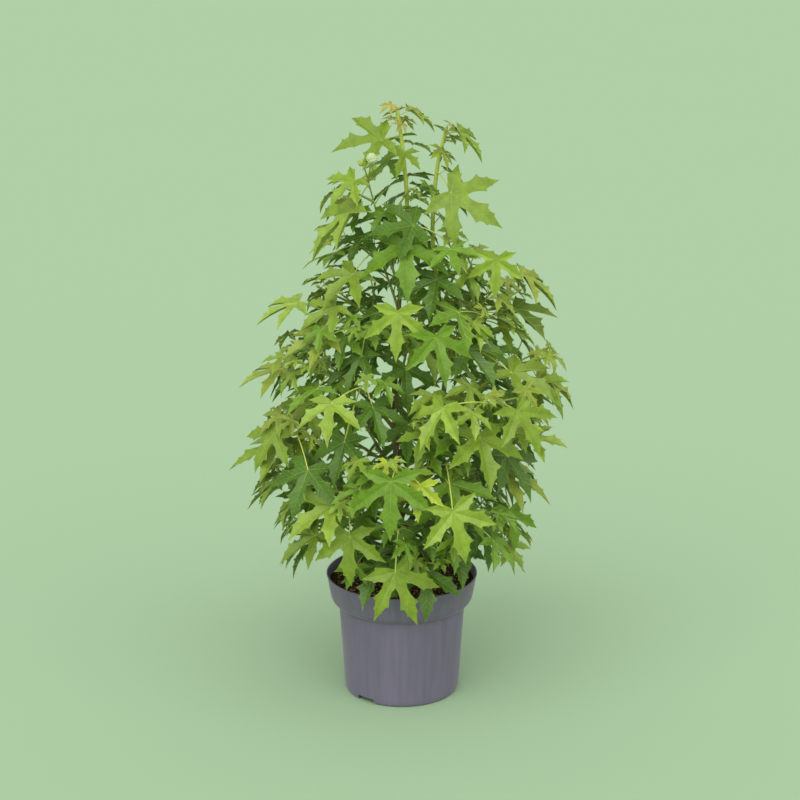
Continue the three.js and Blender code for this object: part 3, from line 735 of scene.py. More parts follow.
# %% Where the boughs go
def plan_branches():
    branches = []
    taken = [(ways_of(stem["curve"], 0, 1, 14), name) for name, stem in STEMS.items()]
    for tier in TIERS:
        for i in range(tier["count"]):
            random = seeded(len(branches) + 1)
            azimuth = tier["turn"] + 360 / tier["count"] * i + (random() * 2 - 1) * BOUGH["azimuth_play"]
            height = tier["foot"] + tier["step"] * (i * 2 % tier["count"])
            farther = 1 + (random() * 2 - 1) * BOUGH["reach_play"]
            higher = 1 + (random() * 2 - 1) * BOUGH["reach_play"]
            choices = []
            for turn in BOUGH["turns"]:
                way = math.radians(azimuth + turn)
                out = vec(math.cos(way), math.sin(way), 0)
                is_second = out[0] > SECOND_STEM_BOUGHS["to_right"] and height > SECOND_STEM_BOUGHS["above"]
                name = "second_stem" if is_second else "trunk"
                curve = STEMS[name]["curve"]
                foot = curve.point(at_height(curve, height))
                reach = tier["reach"] * farther - 0.5 * max(0, foot @ out)
                rise = tier["rise"] * higher
                middle = foot + out * reach * 0.5 + UP * (rise * 0.5 + tier["lift"])
                line = Arc(foot, middle, foot + out * reach + UP * rise)
                ways = ways_of(line, BOUGH["clear_from"], 1, BOUGH["ways"])
                choices.append((name, line, ways))
                if all(other == name or gaps(ways, their).min() > BOUGH["room"] for their, other in taken):
                    break
            else:
                choices = choices[:1]
            _, line, ways = choices[-1]
            taken.append((ways, None))
            branches.append({"line": line, "wood": tier["wood"], "random": random})
    return branches


branches = plan_branches()
print(sum(branch["wood"] > 0 for branch in branches), "boughs start as wood")

# %% [markdown]
# ### Leaves along a twig
# A leaf stands off its twig on a stalk, a golden turn on from the last one, with its tip outwards and
# its face to the sky. Leaves could be scattered through the crown, but those that start on a twig
# gather in tiers as the real ones do. Each is planned as a flat star first and bent later.

# %% Where a leaf hangs
STAR = [LOBES[0], NOTCHES[0], LOBES[1], NOTCHES[1], LOBES[2]]
STAR = STAR + [(-degrees, length) for degrees, length in reversed(STAR[1:])]
STAR_ALONG = np.array([length * math.cos(math.radians(degrees)) for degrees, length in STAR])
STAR_ASIDE = np.array([length * math.sin(math.radians(degrees)) for degrees, length in STAR])
STAR_DOWN = np.array([-LEAF["curl"] * length * length for _, length in STAR])


def blade(foot, middle, size, level, fall, roll):
    tip = level * math.cos(fall) - UP * math.sin(fall)
    face = turned(level * math.sin(fall) + UP * math.cos(fall), tip, roll)
    aside = cross(face, tip)
    return {"foot": foot, "middle": middle, "size": size, "tip": tip, "face": face, "aside": aside}


def outline_of(leaf):
    along, aside, down = (part * leaf["size"] for part in (STAR_ALONG, STAR_ASIDE, STAR_DOWN))
    return (leaf["middle"] + np.outer(along, leaf["tip"]) + np.outer(aside, leaf["aside"])
            + np.outer(down, leaf["face"]))


def plan_leaf(foot, along, guide, turn, size, droop, random):
    across, above = square_to(along, guide)
    around = turn + math.radians(LEAF["around_play"] * (random() - 0.5))
    side = across * math.cos(around) + above * math.sin(around)
    angle = math.radians(LEAF["stalk_angle"] + LEAF["stalk_play"] * (random() - 0.5))
    stalk = unit(along * math.cos(angle) + side * math.sin(angle) + UP * 0.15)
    middle = foot + stalk * size * LEAF["stalk"] * (0.75 + 0.5 * random())
    outward = unit(vec(middle[0], middle[1], 0))
    level = unit(vec(stalk[0], stalk[1], 0) * 0.8 + outward)
    level = turned(level, UP, math.radians(LEAF["turn_play"] * (random() - 0.5)))
    fall = math.radians(droop + LEAF["fall_play"] * (random() - 0.5))
    return blade(foot, middle, size, level, fall, math.radians(LEAF["roll_play"] * (random() - 0.5)))


def tries_at(line, t, guide, turn, size, droop, random):
    """The same leaf over and over, each a little smaller and turned anew."""
    foot, along = line.point(t), line.tangent(t)
    for k in range(LEAF["tries"]):
        yield plan_leaf(foot, along, guide, turn, size * (1 - LEAF["shrink"] * k), droop, random)


def varied(play, random):
    return play[0] + play[1] * random()


print("a leaf's star has", len(STAR), "corners")

# %% Twigs and the places of their leaves
def droop_of(line):
    low, high = LEAF["droop"]
    return mix(low, high, (line.point(1)[2] - GROUND) / LEAF["droop_rise"])


def plan_leaves(line, length, first, largest, droop, random):
    count = max(2, math.floor(length * (1 - first) / TWIG["leaf_every"] + 0.5))
    start = 360 * random()
    guide = guide_for(line, 0, 1)
    places = []
    for i in range(count):
        t = mix(first, 1, (i + 0.5) / count)
        age = i / (count - 1)
        size = mix(largest, LEAF["young"], age * age) * varied(LEAF["size_play"], random)
        turn = math.radians(start + GOLDEN_TURN * i)
        places.append(list(tries_at(line, t, guide, turn, size, droop, random)))
    return places


def plan_mass(branch):
    line, random = branch["line"], branch["random"]
    length = line.length()
    start = branch["wood"] + CLEAR / length if branch["wood"] else 0
    droop = droop_of(line)
    twigs = [{"line": line, "from": start, "foot": TWIG["foot"], "tip": TWIG["tip"],
              "leaves": plan_leaves(line, length, start + 0.1, LEAF["old"], droop, random)}]
    side = 1 if random() < 0.5 else -1
    guide = guide_for(line, 0, 1)
    t = start + TWIG["side_from"]
    while t < TWIG["side_to"]:
        along = line.tangent(t)
        across, above = square_to(along, guide)
        spread = math.radians(TWIG["spread"] + TWIG["spread_play"] * (random() - 0.5))
        heading = along * math.cos(spread) + across * side * math.sin(spread) + above * 0.5 * (random() - 0.4)
        foot = line.point(t)
        reach = length * TWIG["share"] * (1.15 - 0.6 * t) * (0.85 + 0.3 * random())
        twig = Straight(foot, foot + unit(heading) * reach)
        places = plan_leaves(twig, reach, 0.25, LEAF["old"] * TWIG["side_leaf"], droop, random)
        twigs.append({"line": twig, "from": 0, "foot": TWIG["foot"] * TWIG["side_foot"], "tip": TWIG["tip"],
                      "leaves": places})
        side = -side
        t += TWIG["side_every"]
    return {"twigs": twigs, "is_shoot": False}


def plan_top_shoot(name, number):
    random = seeded(100 + number)
    stem = STEMS[name]
    curve = stem["curve"]
    start = at_height(curve, stem["wood_end"] + CLEAR)
    guide = guide_for(curve, 0, 1)
    leaves = []
    for i in range(TOP_SHOOT["leaves"]):
        age = i / (TOP_SHOOT["leaves"] - 1)
        t = mix(start, 1, mix(TOP_SHOOT["from"], 1, age))
        size = mix(TOP_SHOOT["largest"], TOP_SHOOT["smallest"], age) * varied(LEAF["size_play"], random)
        turn = math.radians(GOLDEN_TURN * i + TOP_SHOOT["turn"] * number)
        leaves.append(list(tries_at(curve, t, guide, turn, size, TOP_SHOOT["droop"], random)))
    return {"twigs": [{"line": curve, "from": start, "leaves": leaves}], "is_shoot": True}


masses = [plan_mass(branch) for branch in branches]
masses += [plan_top_shoot(name, number) for number, name in enumerate(STEMS, 1)]
print(sum(len(mass["twigs"]) for mass in masses), "twigs planned in", len(masses), "masses")

# %% What may stand beside what
class Room:
    """The limbs and leaves that stand, and whether another fits between them."""

    def __init__(self):
        self.limbs, self.stalks = np.zeros((0, 2, 3)), np.zeros((0, 2, 3))
        self.limb_radius, self.limb_mass = np.zeros(0), np.zeros(0, int)
        self.leaves = []
        self.sizes = np.zeros(0)
        self.middles, self.low, self.high = np.zeros((0, 3)), np.zeros((0, 3)), np.zeros((0, 3))

    def add_limb(self, ways, radius, mass):
        self.limbs = np.concatenate((self.limbs, ways))
        self.limb_radius = np.append(self.limb_radius, np.full(len(ways), radius))
        self.limb_mass = np.append(self.limb_mass, np.full(len(ways), mass))

    def takes_twig(self, ways, mass):
        others = self.limb_mass != mass
        return bool((gaps(self.limbs[others], ways).min(1) > self.limb_radius[others] + SPACE["twig"]).all())

    def takes_leaf(self, leaf, mass):
        stalk = np.array(((leaf["foot"], leaf["middle"]),))
        others = self.limb_mass != mass
        if (gaps(self.limbs[others], stalk)[:, 0] <= self.limb_radius[others] + SPACE["stalk"]).any():
            return False
        if len(self.leaves) and (gaps(stalk, self.stalks) <= SPACE["stalks"]).any():
            return False
        prepare(leaf)
        low, high = leaf["low"], leaf["high"]
        if len(self.leaves):
            far = np.linalg.norm(self.middles - leaf["middle"], axis=1)
            near = far <= 1.1 * (self.sizes + leaf["size"]) + 40
            near &= (self.low < high).all(1) & (low < self.high).all(1)
            close = [self.leaves[i] for i in np.flatnonzero(near)]
            if close:
                if pierce(leaf["ways"], np.concatenate([other["triangles"] for other in close])):
                    return False
                if pierce(np.concatenate([other["ways"] for other in close]), leaf["triangles"]):
                    return False
        thick = self.limb_radius[:, None] + 1
        limb_low, limb_high = self.limbs.min(1) - thick, self.limbs.max(1) + thick
        touch = (limb_low < high).all(1) & (low < limb_high).all(1)
        if touch.any():
            limbs = self.limbs[touch]
            shift = (self.limb_radius[touch] + SPACE["blade"])[:, None, None] * leaf["face"]
            if pierce(np.concatenate((limbs, limbs + shift, limbs - shift)), leaf["triangles"]):
                return False
        return True

    def add_leaf(self, leaf):
        self.leaves.append(leaf)
        self.stalks = np.concatenate((self.stalks, [(leaf["foot"], leaf["middle"])]))
        self.middles = np.concatenate((self.middles, [leaf["middle"]]))
        self.sizes = np.append(self.sizes, leaf["size"])
        self.low = np.concatenate((self.low, [leaf["low"]]))
        self.high = np.concatenate((self.high, [leaf["high"]]))


def prepare(leaf):
    """A leaf's blade as flat triangles, and its edges, ribs and stalk as ways, with some to either side."""
    rim = outline_of(leaf)
    following = np.roll(rim, -1, 0)
    middle = np.broadcast_to(leaf["middle"], rim.shape)
    leaf["triangles"] = np.stack((rim, following, middle), 1)
    ways = np.concatenate((np.stack((rim, following), 1), np.stack((rim, middle), 1),
                           [(leaf["foot"], leaf["middle"])]))
    leaf["ways"] = np.concatenate([ways + leaf["face"] * far for far in (0, LEAF["apart"], -LEAF["apart"])])
    points = np.concatenate((rim, [leaf["middle"], leaf["foot"]]))
    leaf["low"], leaf["high"] = points.min(0) - LEAF["apart"] - 1, points.max(0) + LEAF["apart"] + 1


print("a leaf keeps", LEAF["apart"], "mm free on either side")

# %% How far the crown reaches
POT_ROOM = 3  # between the pot's rim and any leaf


def crown_reach(p):
    """The crown's reach at points (n, 3)."""
    above = np.searchsorted(CROWN[:, 0], p[:, 2], side="right")
    inside = (above >= 1) & (above < len(CROWN))
    above = np.clip(above, 1, len(CROWN) - 1)
    low, high = CROWN[above - 1], CROWN[above]
    share = (p[:, 2] - low[:, 0]) / (high[:, 0] - low[:, 0])
    to_right = (1 + p[:, 0] / np.maximum(1, np.hypot(p[:, 0], p[:, 1]))) / 2
    left, right = mix(low[:, 1], high[:, 1], share), mix(low[:, 2], high[:, 2], share)
    return np.where(inside, mix(left, right, to_right), 0)


def is_within(leaf):
    points = np.concatenate((outline_of(leaf), [leaf["middle"]]))
    out = np.hypot(points[:, 0], points[:, 1])
    off_pot = (out > POT_RIM + POT_ROOM) | (points[:, 2] > POT_TOP + POT_ROOM)
    return bool(((out < crown_reach(points)) & off_pot).all())


print("the crown is widest at", CROWN[CROWN[:, 1:].sum(1).argmax(), 0], "mm")

# %% [markdown]
# ### Leaves with a place of their own
# Some leaves stand out at the front and on the crown's outline. A seeded rule would never put them
# there, so each has its own place, size and slant, and joins the nearest twig that gives it room.
# They come first, and the rule fills in round them.

# %% Leaves with a place of their own
SHOWN = {  # the blade's middle, its size, which way it points, how far it falls, its roll
    "over_rim": (-10, -152, 274, 94, -25, 66, 45),
    "top_right": (75, -50, 836, 95, -15, 30, 55),
    "top_middle": (18, -70, 790, 74, 192, 6, -50),
    "top_front": (5, -75, 760, 92, -85, 48, 0),
    "top_left": (-74, -30, 806, 102, 186, 42, -38),
    "bud_leaf": (-31, -30, 914, 78, 190, 6, -30),
    "bud_low": (-73, -40, 852, 56, 200, 36, -30),
    "tip_bronze": (13, -10, 956, 50, 0, 30, 62),
    "tip_right": (86, -25, 926, 60, -10, 42, 20),
    "tip_back": (17, 15, 902, 38, 30, 16, 0),
    "right_shoulder": (188, -15, 700, 78, -5, 35, 12),
    "right_young": (144, -80, 738, 60, -92, 68, 0),
    "left_shoulder": (-74, -75, 715, 74, 215, 30, -40),
    "left_yellow": (-161, -60, 666, 72, 188, 18, -20),
    "left_pair": (-115, -110, 624, 78, 196, 14, -40),
    "middle_lime": (-6, -150, 672, 74, -97, 65, 0),
    "middle_right": (51, -160, 640, 76, -60, 58, 10),
    "middle_twist": (62, -200, 538, 74, 216, 48, -10),
    "left_lime": (-106, -183, 540, 72, -100, 36, 0),
    "far_left": (-188, -60, 560, 72, 187, 12, -25),
    "far_right": (226, -20, 532, 66, -8, 33, 12),
    "right_face": (170, -80, 560, 84, -20, 22, 30),
    "right_star": (118, -175, 484, 88, -66, 52, 0),
    "inner_right": (100, -104, 604, 78, -40, 34, 10),
    "inner_left": (-44, -158, 527, 66, -62, 54, 0),
    "inner_middle": (10, -128, 490, 62, -96, 56, 0),
    "inner_high": (6, -96, 572, 70, -84, 60, 0),
    "inner_side": (-62, -112, 594, 66, -136, 52, 0),
    "inner_low": (-88, -140, 466, 74, -122, 58, 0),
    "right_yellow": (205, -70, 450, 58, -10, 2, 40),
    "young_star": (28, -212, 420, 56, -108, 60, 0),
    "right_level": (71, -165, 408, 82, -6, 12, 40),
    "wide_right": (158, -60, 396, 98, -6, 27, 30),
    "big_star": (-16, -200, 432, 90, -93, 70, 0),
    "left_dark": (-144, -120, 424, 82, 234, 54, -10),
    "wide_left": (-194, -60, 440, 90, 190, 20, -20),
    "low_left_lime": (-108, -150, 371, 86, 203, 24, -50),
    "low_right_lime": (77, -192, 381, 84, -40, 70, 30),
    "low_right": (170, -80, 332, 64, -62, 64, 0),
    "low_right_dark": (126, -110, 314, 64, -52, 66, 0),
    "soil_right": (80, -110, 287, 74, -56, 54, 0),
    "low_left": (-136, -90, 296, 74, 196, 30, -40),
    "front_left": (-80, -178, 326, 78, -100, 72, 0),
}
SHOWN_STALK = 0.55
SHOWN_NUDGES = (0, -14, -28, 14, -42)  # towards the back
NEAREST = 60  # how many places on the twigs are tried
print(len(SHOWN), "leaves with a place of their own")

# %% Growing
def grow_limbs(room):
    """Stems and boughs take their room first, then the side twigs that clear them."""
    for stem in STEMS.values():
        wood = ways_of(stem["curve"], 0, at_height(stem["curve"], stem["wood_end"]), 12)
        room.add_limb(wood, stem["foot"], -1)
    for number, mass in enumerate(masses):
        main = mass["twigs"][0]
        start = main["from"] if mass["is_shoot"] else 0
        room.add_limb(ways_of(main["line"], start, 1, BOUGH["ways"]), BOUGH["foot"], number)
    for number, mass in enumerate(masses):
        kept = mass["twigs"][:1]
        for twig in mass["twigs"][1:]:
            ways = ways_of(twig["line"], 0, 1, 3)
            if room.takes_twig(ways, number):
                room.add_limb(ways, TWIG["foot"], number)
                kept.append(twig)
        mass["twigs"] = kept


def plan_shown(name, numbers, feet):
    """A named leaf on the twigs nearest to it, nudged back or forth where that fails."""
    x, y, z, size, azimuth, fall, roll = numbers
    way, fall, roll = math.radians(azimuth), math.radians(fall), math.radians(roll)
    for nudge in SHOWN_NUDGES:
        middle = vec(x, y + nudge, z)
        leaf = blade(middle, middle, size, vec(math.cos(way), math.sin(way), 0), fall, roll)
        wanted = middle - leaf["tip"] * size * SHOWN_STALK
        far = np.linalg.norm(np.array([foot for _, foot in feet]) - wanted, axis=1)
        for i in np.argsort(far, kind="stable")[:NEAREST]:
            yield feet[i][0], dict(leaf, foot=feet[i][1], name=name)


def grow_shown(room):
    feet = [(number, twig["line"].point(mix(twig["from"] + 0.04, 0.98, i / 20)))
            for number, mass in enumerate(masses) for twig in mass["twigs"] for i in range(21)]
    for name, numbers in SHOWN.items():
        found = (leaf for mass, leaf in plan_shown(name, numbers, feet) if room.takes_leaf(leaf, mass))
        room.add_leaf(next(found))


def grow_first(room, tries, number):
    """Grows the first of some leaves that keeps inside the crown and finds room."""
    leaf = next((leaf for leaf in tries if is_within(leaf) and room.takes_leaf(leaf, number)), None)
    if leaf:
        room.add_leaf(leaf)
    return leaf


room = Room()
grow_limbs(room)
grow_shown(room)
for number, mass in enumerate(masses):
    for twig in mass["twigs"]:
        for tries in twig["leaves"]:
            grow_first(room, tries, number)
print(sum(len(mass["twigs"]) for mass in masses), "twigs and", len(room.leaves), "leaves")

# %% [markdown]
# ### Carried to finer leaves
# The solids hold only the larger leaves. A real crown has as many small ones again: young leaves in
# the gaps along each twig, and a tuft of the newest round its tip. They are planned by the same rule
# with smaller sizes, and each again has to find room.

# %% Finer leaves
FINER = {"every": (14, 22), "largest": 62, "smallest": 26, "turn": 62,  # closer below than above
         "size_play": (0.85, 0.3)}
TUFT = {"leaves": 3, "size": 24, "back": 0.012, "less": 0.08}
SHOOT_TUFT = {"leaves": 11, "size": 30, "back": 0.006, "less": 0.05, "droop": -4}


def plan_finer(line, first, droop, tuft):
    """Place on a twig, size, number in the turn, droop, and whether it is one of the newest."""
    reach = math.dist(line.point(first), line.point(1))
    every = mix(*FINER["every"], min(1, (line.point(1)[2] - GROUND) / LEAF["droop_rise"]))
    count = max(2, round(reach / every))
    for i in range(count):
        size = mix(FINER["largest"], FINER["smallest"], (i / count) ** 2)
        yield mix(first, 1, (i + 0.5) / count), size, i, droop, False
    for i in range(tuft["leaves"]):
        size = tuft["size"] * (1 - tuft["less"] * i)
        yield 1 - tuft["back"] * i, size, i + 0.5, tuft.get("droop", droop), tuft is SHOOT_TUFT


def grow_finer(room):
    for number, mass in enumerate(masses):
        tuft = SHOOT_TUFT if mass["is_shoot"] else TUFT
        for which, twig in enumerate(mass["twigs"]):
            random = seeded(700 + 20 * number + which)
            line = twig["line"]
            guide = guide_for(line, 0, 1)
            plans = plan_finer(line, mix(twig["from"], 1, 0.06), droop_of(line), tuft)
            for t, size, i, droop, newest in plans:
                size *= varied(FINER["size_play"], random)
                turn = math.radians(GOLDEN_TURN * i + FINER["turn"])
                leaf = grow_first(room, tries_at(line, t, guide, turn, size, droop, random), number)
                if leaf:
                    leaf["newest"] = newest


larger = len(room.leaves)
grow_finer(room)
leaves = room.leaves
print(len(leaves) - larger, "finer leaves,", sum(leaf.get("newest", False) for leaf in leaves), "at the tips")

# %% [markdown]
# ## Many things in one mesh
# A twig, a stalk and a leaf are each a small closed body. Hundreds of separate objects would be slow
# to handle, so each kind is gathered into one mesh: its corners are numbered on from the last one's.

# %% Gathering
class Gathered:
    """Closed bodies of one kind, gathered into one mesh."""

    def __init__(self):
        self.corners, self.faces, self.uv, self.slots, self.count = [], [], [], [], 0

    def add(self, corners, faces, uv=(), slots=()):
        self.corners.append(corners)
        self.faces += [[self.count + corner for corner in face] for face in faces]
        self.uv += list(uv)
        self.slots += list(slots)
        self.count += len(corners)

    def piece(self, name, *materials):
        corners = np.concatenate(self.corners)
        return piece_from(name, corners, self.faces, *materials, uv=self.uv or None, slots=self.slots or None)


def ringed_faces(rings, sides):
    """The faces of a body of equal rings, closed at both ends."""
    faces = []
    for i in range(rings - 1):
        for k in range(sides):
            a, b = i * sides + k, i * sides + (k + 1) % sides
            faces.append((a, b, b + sides, a + sides))
    last = (rings - 1) * sides
    return faces + [tuple(range(sides))[::-1], tuple(range(last, last + sides))]


def tube(points, radii, sides, guide, relief=None):
    """A closed round body along points. relief(place) says how far its surface stands out there."""
    points = np.asarray(points)
    ways = np.gradient(points, axis=0)
    corners = []
    for point, way, radius in zip(points, ways, radii):
        across, above = square_to(unit(way), guide)
        for k in range(sides):
            angle = 2 * math.pi * k / sides
            out = across * math.cos(angle) + above * math.sin(angle)
            corners.append(point + out * (radius + (relief(point + out * radius) if relief else 0)))
    return np.array(corners), ringed_faces(len(points), sides)


def stations(line, start, end, apart):
    """Places along a stretch of a line, about so far apart."""
    rough = [line.point(mix(start, end, i / 20)) for i in range(21)]
    reach = sum(math.dist(a, b) for a, b in zip(rough, rough[1:]))
    count = max(3, round(reach / apart))
    return [mix(start, end, i / count) for i in range(count + 1)]


print("a trunk of rings 4 mm apart has", len(stations(STEMS["trunk"]["curve"], 0, 1, 4)), "of them")

# %% [markdown]
# ## Bits on the soil
# Shreds of bark, ochre crumbs and pale fibres lie on the compost. Each is a block with its corners
# knocked about, turned any way and sunk a little into the soil where it lies.

# %% Bits on the soil
BITS = {  # how many, the longest side, how thin beside it, the colour
    "bark_chips": (300, 9, 0.42, linear(92, 60, 38)),
    "ochre_crumbs": (520, 4.2, 0.7, linear(190, 152, 84)),
    "pale_fibres": (120, 12, 0.14, linear(158, 132, 92)),
    "dark_clods": (320, 6.5, 0.8, linear(44, 32, 20)),
}
BLOCK = np.array([(x, y, z) for z in (-0.5, 0.5) for y in (-0.5, 0.5) for x in (-0.5, 0.5)])
BLOCK_FACES = ((0, 2, 3, 1), (4, 5, 7, 6), (0, 1, 5, 4), (2, 6, 7, 3), (0, 4, 6, 2), (1, 3, 7, 5))
BITS_REACH = SOIL_RADIUS - 6
SOIL_TOP = [vec(*corner.co) / MM for corner in soil.data.vertices
            if corner.co.z > (GROUND - 8) * MM and math.hypot(corner.co.x, corner.co.y) < BITS_REACH * MM]


def strew(name, number, count, longest, thin, colour):
    random = seeded(300 + number)
    bits = Gathered()
    for _ in range(count):
        spot = SOIL_TOP[int(random() * len(SOIL_TOP))]
        length = longest * (0.4 + 0.6 * random())
        sides = length * vec(1, thin * (0.6 + 0.8 * random()), thin * (0.4 + 0.5 * random()))
        knocked = BLOCK * sides * np.array([[0.7 + 0.6 * random() for _ in range(3)] for _ in BLOCK])
        heading, lean = math.radians(360 * random()), math.radians(36 * (random() - 0.5))
        along = vec(math.cos(heading) * math.cos(lean), math.sin(heading) * math.cos(lean), math.sin(lean))
        across = unit(cross(UP, along))
        bits.add(spot + knocked @ np.array((along, across, cross(along, across))), BLOCK_FACES)
    piece = bits.piece(name, plain_material(name, colour, 0.9, 0.15, 400))
    finish_piece(piece, "soil", "soil", angle=None)


for number, (name, numbers) in enumerate(BITS.items()):
    strew(name, number, *numbers)

# %% [markdown]
# ## Bark
# A young sweetgum's bark is olive to grey-brown and nearly smooth, with fine upright furrows, small
# pale pores, and a swollen collar where each bough leaves. The furrows are drawn out along the stem,
# so the surface is pushed in and out by a noise that is stretched upwards.

# %% Bark finish
PORE = linear(150, 140, 104)
TURNING = (-0.1, 0.2)  # metres below and above the height where bark turns young


def bark_material(name, old, young, turn_height):
    """Bark that goes from old below to young above a height in metres."""
    paint = Paint(name)
    height = paint.node("ShaderNodeSeparateXYZ", inputs={0: paint.place()}, output=2)
    furrows = paint.noise(260, 5.0, (1, 1, 0.12))
    pores = paint.noise(700, 2.0, (1, 1, 1.8))
    age = (height + furrows * 0.12).step(*(turn_height + far for far in TURNING))
    tint = paint.blend(age, old, young)
    dark = paint.blend(furrows.step(0.3, 0.62), tuple(c * 0.45 for c in old), (1, 1, 1))
    multiply = {"data_type": "RGBA", "blend_type": "MULTIPLY"}
    shaded = paint.node("ShaderNodeMix", multiply, {0: 0.6, 6: tint, 7: dark}, output=2)
    speckled = paint.blend(pores.step(0.66, 0.72) * 0.5, shaded, PORE)
    return paint.set(base_color=speckled, roughness=0.72 + furrows * 0.15, specular_ior_level=0.3,
                     normal=paint.bump(furrows * 0.7 + pores * 0.3, 0.5, 0.0006))


print("bark turns young within", round(TURNING[1] - TURNING[0], 2), "m")

# %% Stems
BARK_OLD = linear(112, 98, 70)
BARK_YOUNG = linear(118, 122, 60)
STEM_SIDES = 26
STEM_SUNK = 6  # how far the trunk goes down into the soil
RING_EVERY = 4
FURROW = 0.35  # how deep the furrows are


def furrowed(depth):
    def relief(place):
        x, y, z = place
        upright = noise.noise((x * 0.42, y * 0.42, z * 0.045))
        knots = noise.noise((x * 0.11, y * 0.11, z * 0.09 + 40))
        return depth * (upright + 0.9 * knots)

    return relief


def grow_stem(name, stem):
    curve = stem["curve"]
    low = at_height(curve, GROUND + CLEAR - STEM_SUNK)
    high = at_height(curve, stem["wood_end"])
    points = [curve.point(t) for t in stations(curve, low, high, RING_EVERY)]
    radii = [stem_radius(stem, p[2]) for p in points]
    body = Gathered()
    body.add(*tube(points, radii, STEM_SIDES, vec(0, -1, 0), furrowed(FURROW)))
    return body.piece(f"bark_{name}", bark_material(f"{name}_bark", BARK_OLD, BARK_YOUNG, 0.5))


for name, stem in STEMS.items():
    finish_piece(grow_stem(name, stem), "bark", name)

# %% Boughs
BOUGH_OLD = linear(116, 106, 70)
BOUGH_YOUNG = linear(124, 138, 60)
BOUGH_SIDES = 14
COLLAR = {"reach": 9, "extra": 0.55}  # how far a bough's swollen foot goes, and how much wider it is

boughs = Gathered()
for branch in branches:
    if branch["wood"]:
        line, wood = branch["line"], branch["wood"]
        places = stations(line, 0, wood, RING_EVERY)
        points = [line.point(t) for t in places]
        radii = []
        for t, point in zip(places, points):
            swelling = COLLAR["extra"] * max(0, 1 - math.dist(points[0], point) / COLLAR["reach"])
            radii.append(mix(BOUGH["foot"], BOUGH["tip"], t / wood) * (1 + swelling))
        boughs.add(*tube(points, radii, BOUGH_SIDES, guide_for(line, 0, wood), furrowed(FURROW * 0.7)))
bough_piece = boughs.piece("bark_boughs", bark_material("bough_bark", BOUGH_OLD, BOUGH_YOUNG, 0.42))
finish_piece(bough_piece, "bough_bark", *BOUGH_NODES)

# %% [markdown]
# ## Green twigs and stalks
# Beyond the wood each bough goes on as this year's shoot: green, smooth and thin. A leaf hangs on a
# round yellow-green stalk that is a little thicker where it leaves the twig and where it meets the
# blade. Stalks bow under the leaf, so each follows an arc with its middle lifted a little.

# %% Twigs and stalks
TWIG_GREEN = linear(152, 172, 70)
SHOOT_GREEN = linear(190, 206, 84)
BUD_GREEN = linear(168, 176, 90)
STALK_GREEN = linear(192, 204, 92)
TWIG_SHARE = 0.92  # beside the sturdier twigs of the solids
TWIG_SIDES = 8
TWIG_RING_EVERY = 6
TWIG_RELIEF = 0.12
SHOOT = (3.5, 2.8)  # a stem's green shoot stays stout to its tip
TIP_BUD = ((-1.5, 1.2), (0, 1.9), (1.8, 2.2), (4, 1.7), (6, 0.9), (7.2, 0.25))  # along the twig, radius
STALK = {"sides": 6, "steps": 6, "radii": (1.7, 1.05, 1.05, 1.25), "bow": 0.07, "full_size": 60}


def grow_twigs():
    """The twigs, the two stems' shoots, and the bud that ends each."""
    twigs, shoots, buds = Gathered(), Gathered(), Gathered()
    for mass in masses:
        for number, twig in enumerate(mass["twigs"]):
            line, start = twig["line"], twig["from"]
            begin = max(0, start - 0.02) if number == 0 else 0
            places = stations(line, begin, 1, TWIG_RING_EVERY)
            points = [line.point(t) for t in places]
            share = [(t - begin) / (1 - begin) for t in places]
            if mass["is_shoot"]:
                radii = [mix(*SHOOT, s) for s in share]
            else:
                thin = [1 if s < 0.02 else TWIG_SHARE for s in share]
                radii = [mix(twig["foot"], twig["tip"] * 0.8, s) * less for s, less in zip(share, thin)]
            guide = guide_for(line, 0, 1)
            kind = shoots if mass["is_shoot"] else twigs
            kind.add(*tube(points, radii, TWIG_SIDES, guide, furrowed(TWIG_RELIEF)))
            end, along = points[-1], unit(points[-1] - points[-2])
            bud = [end + along * far for far, _ in TIP_BUD]
            buds.add(*tube(bud, [radius for _, radius in TIP_BUD], TWIG_SIDES, guide))
    return twigs, shoots, buds


def stalk_line(foot, middle):
    lift = UP * STALK["bow"] * math.dist(foot, middle)
    return Arc(foot, (foot + middle) / 2 + 2 * lift, middle)


def grow_stalks():
    stalks = Gathered()
    share = np.linspace(0, 1, STALK["steps"] + 1)
    radii = np.interp(share, (0, 0.12, 0.85, 1), STALK["radii"])
    for leaf in leaves:
        line = stalk_line(leaf["foot"], leaf["middle"])
        thick = min(1, leaf["size"] / STALK["full_size"])
        points = [line.point(t) for t in share]
        stalks.add(*tube(points, radii * thick, STALK["sides"], guide_for(line, 0, 1)))
    return stalks.piece("leaf_stalks", plain_material("leaf_stalk", STALK_GREEN, 0.5, 0.08, 120))


twigs, shoots, tip_buds = grow_twigs()
print(twigs.count + shoots.count, "corners on twigs and shoots,", tip_buds.count, "on their buds")

# %% [markdown]
# ## The leaf
# A sweetgum leaf is a five-pointed star. Each lobe narrows to a long tip, is widest near its middle
# and carries small teeth and a pair or two of larger ones, and its two halves fold up a little from
# the midrib. It could be one flat cut-out, but then the folds wouldn't catch the light. So the blade
# is made once as half lobes: each is a strip between the midrib and the rim, with a row of corners
# between them that lets it arch. Both faces share the rim, which closes the blade.

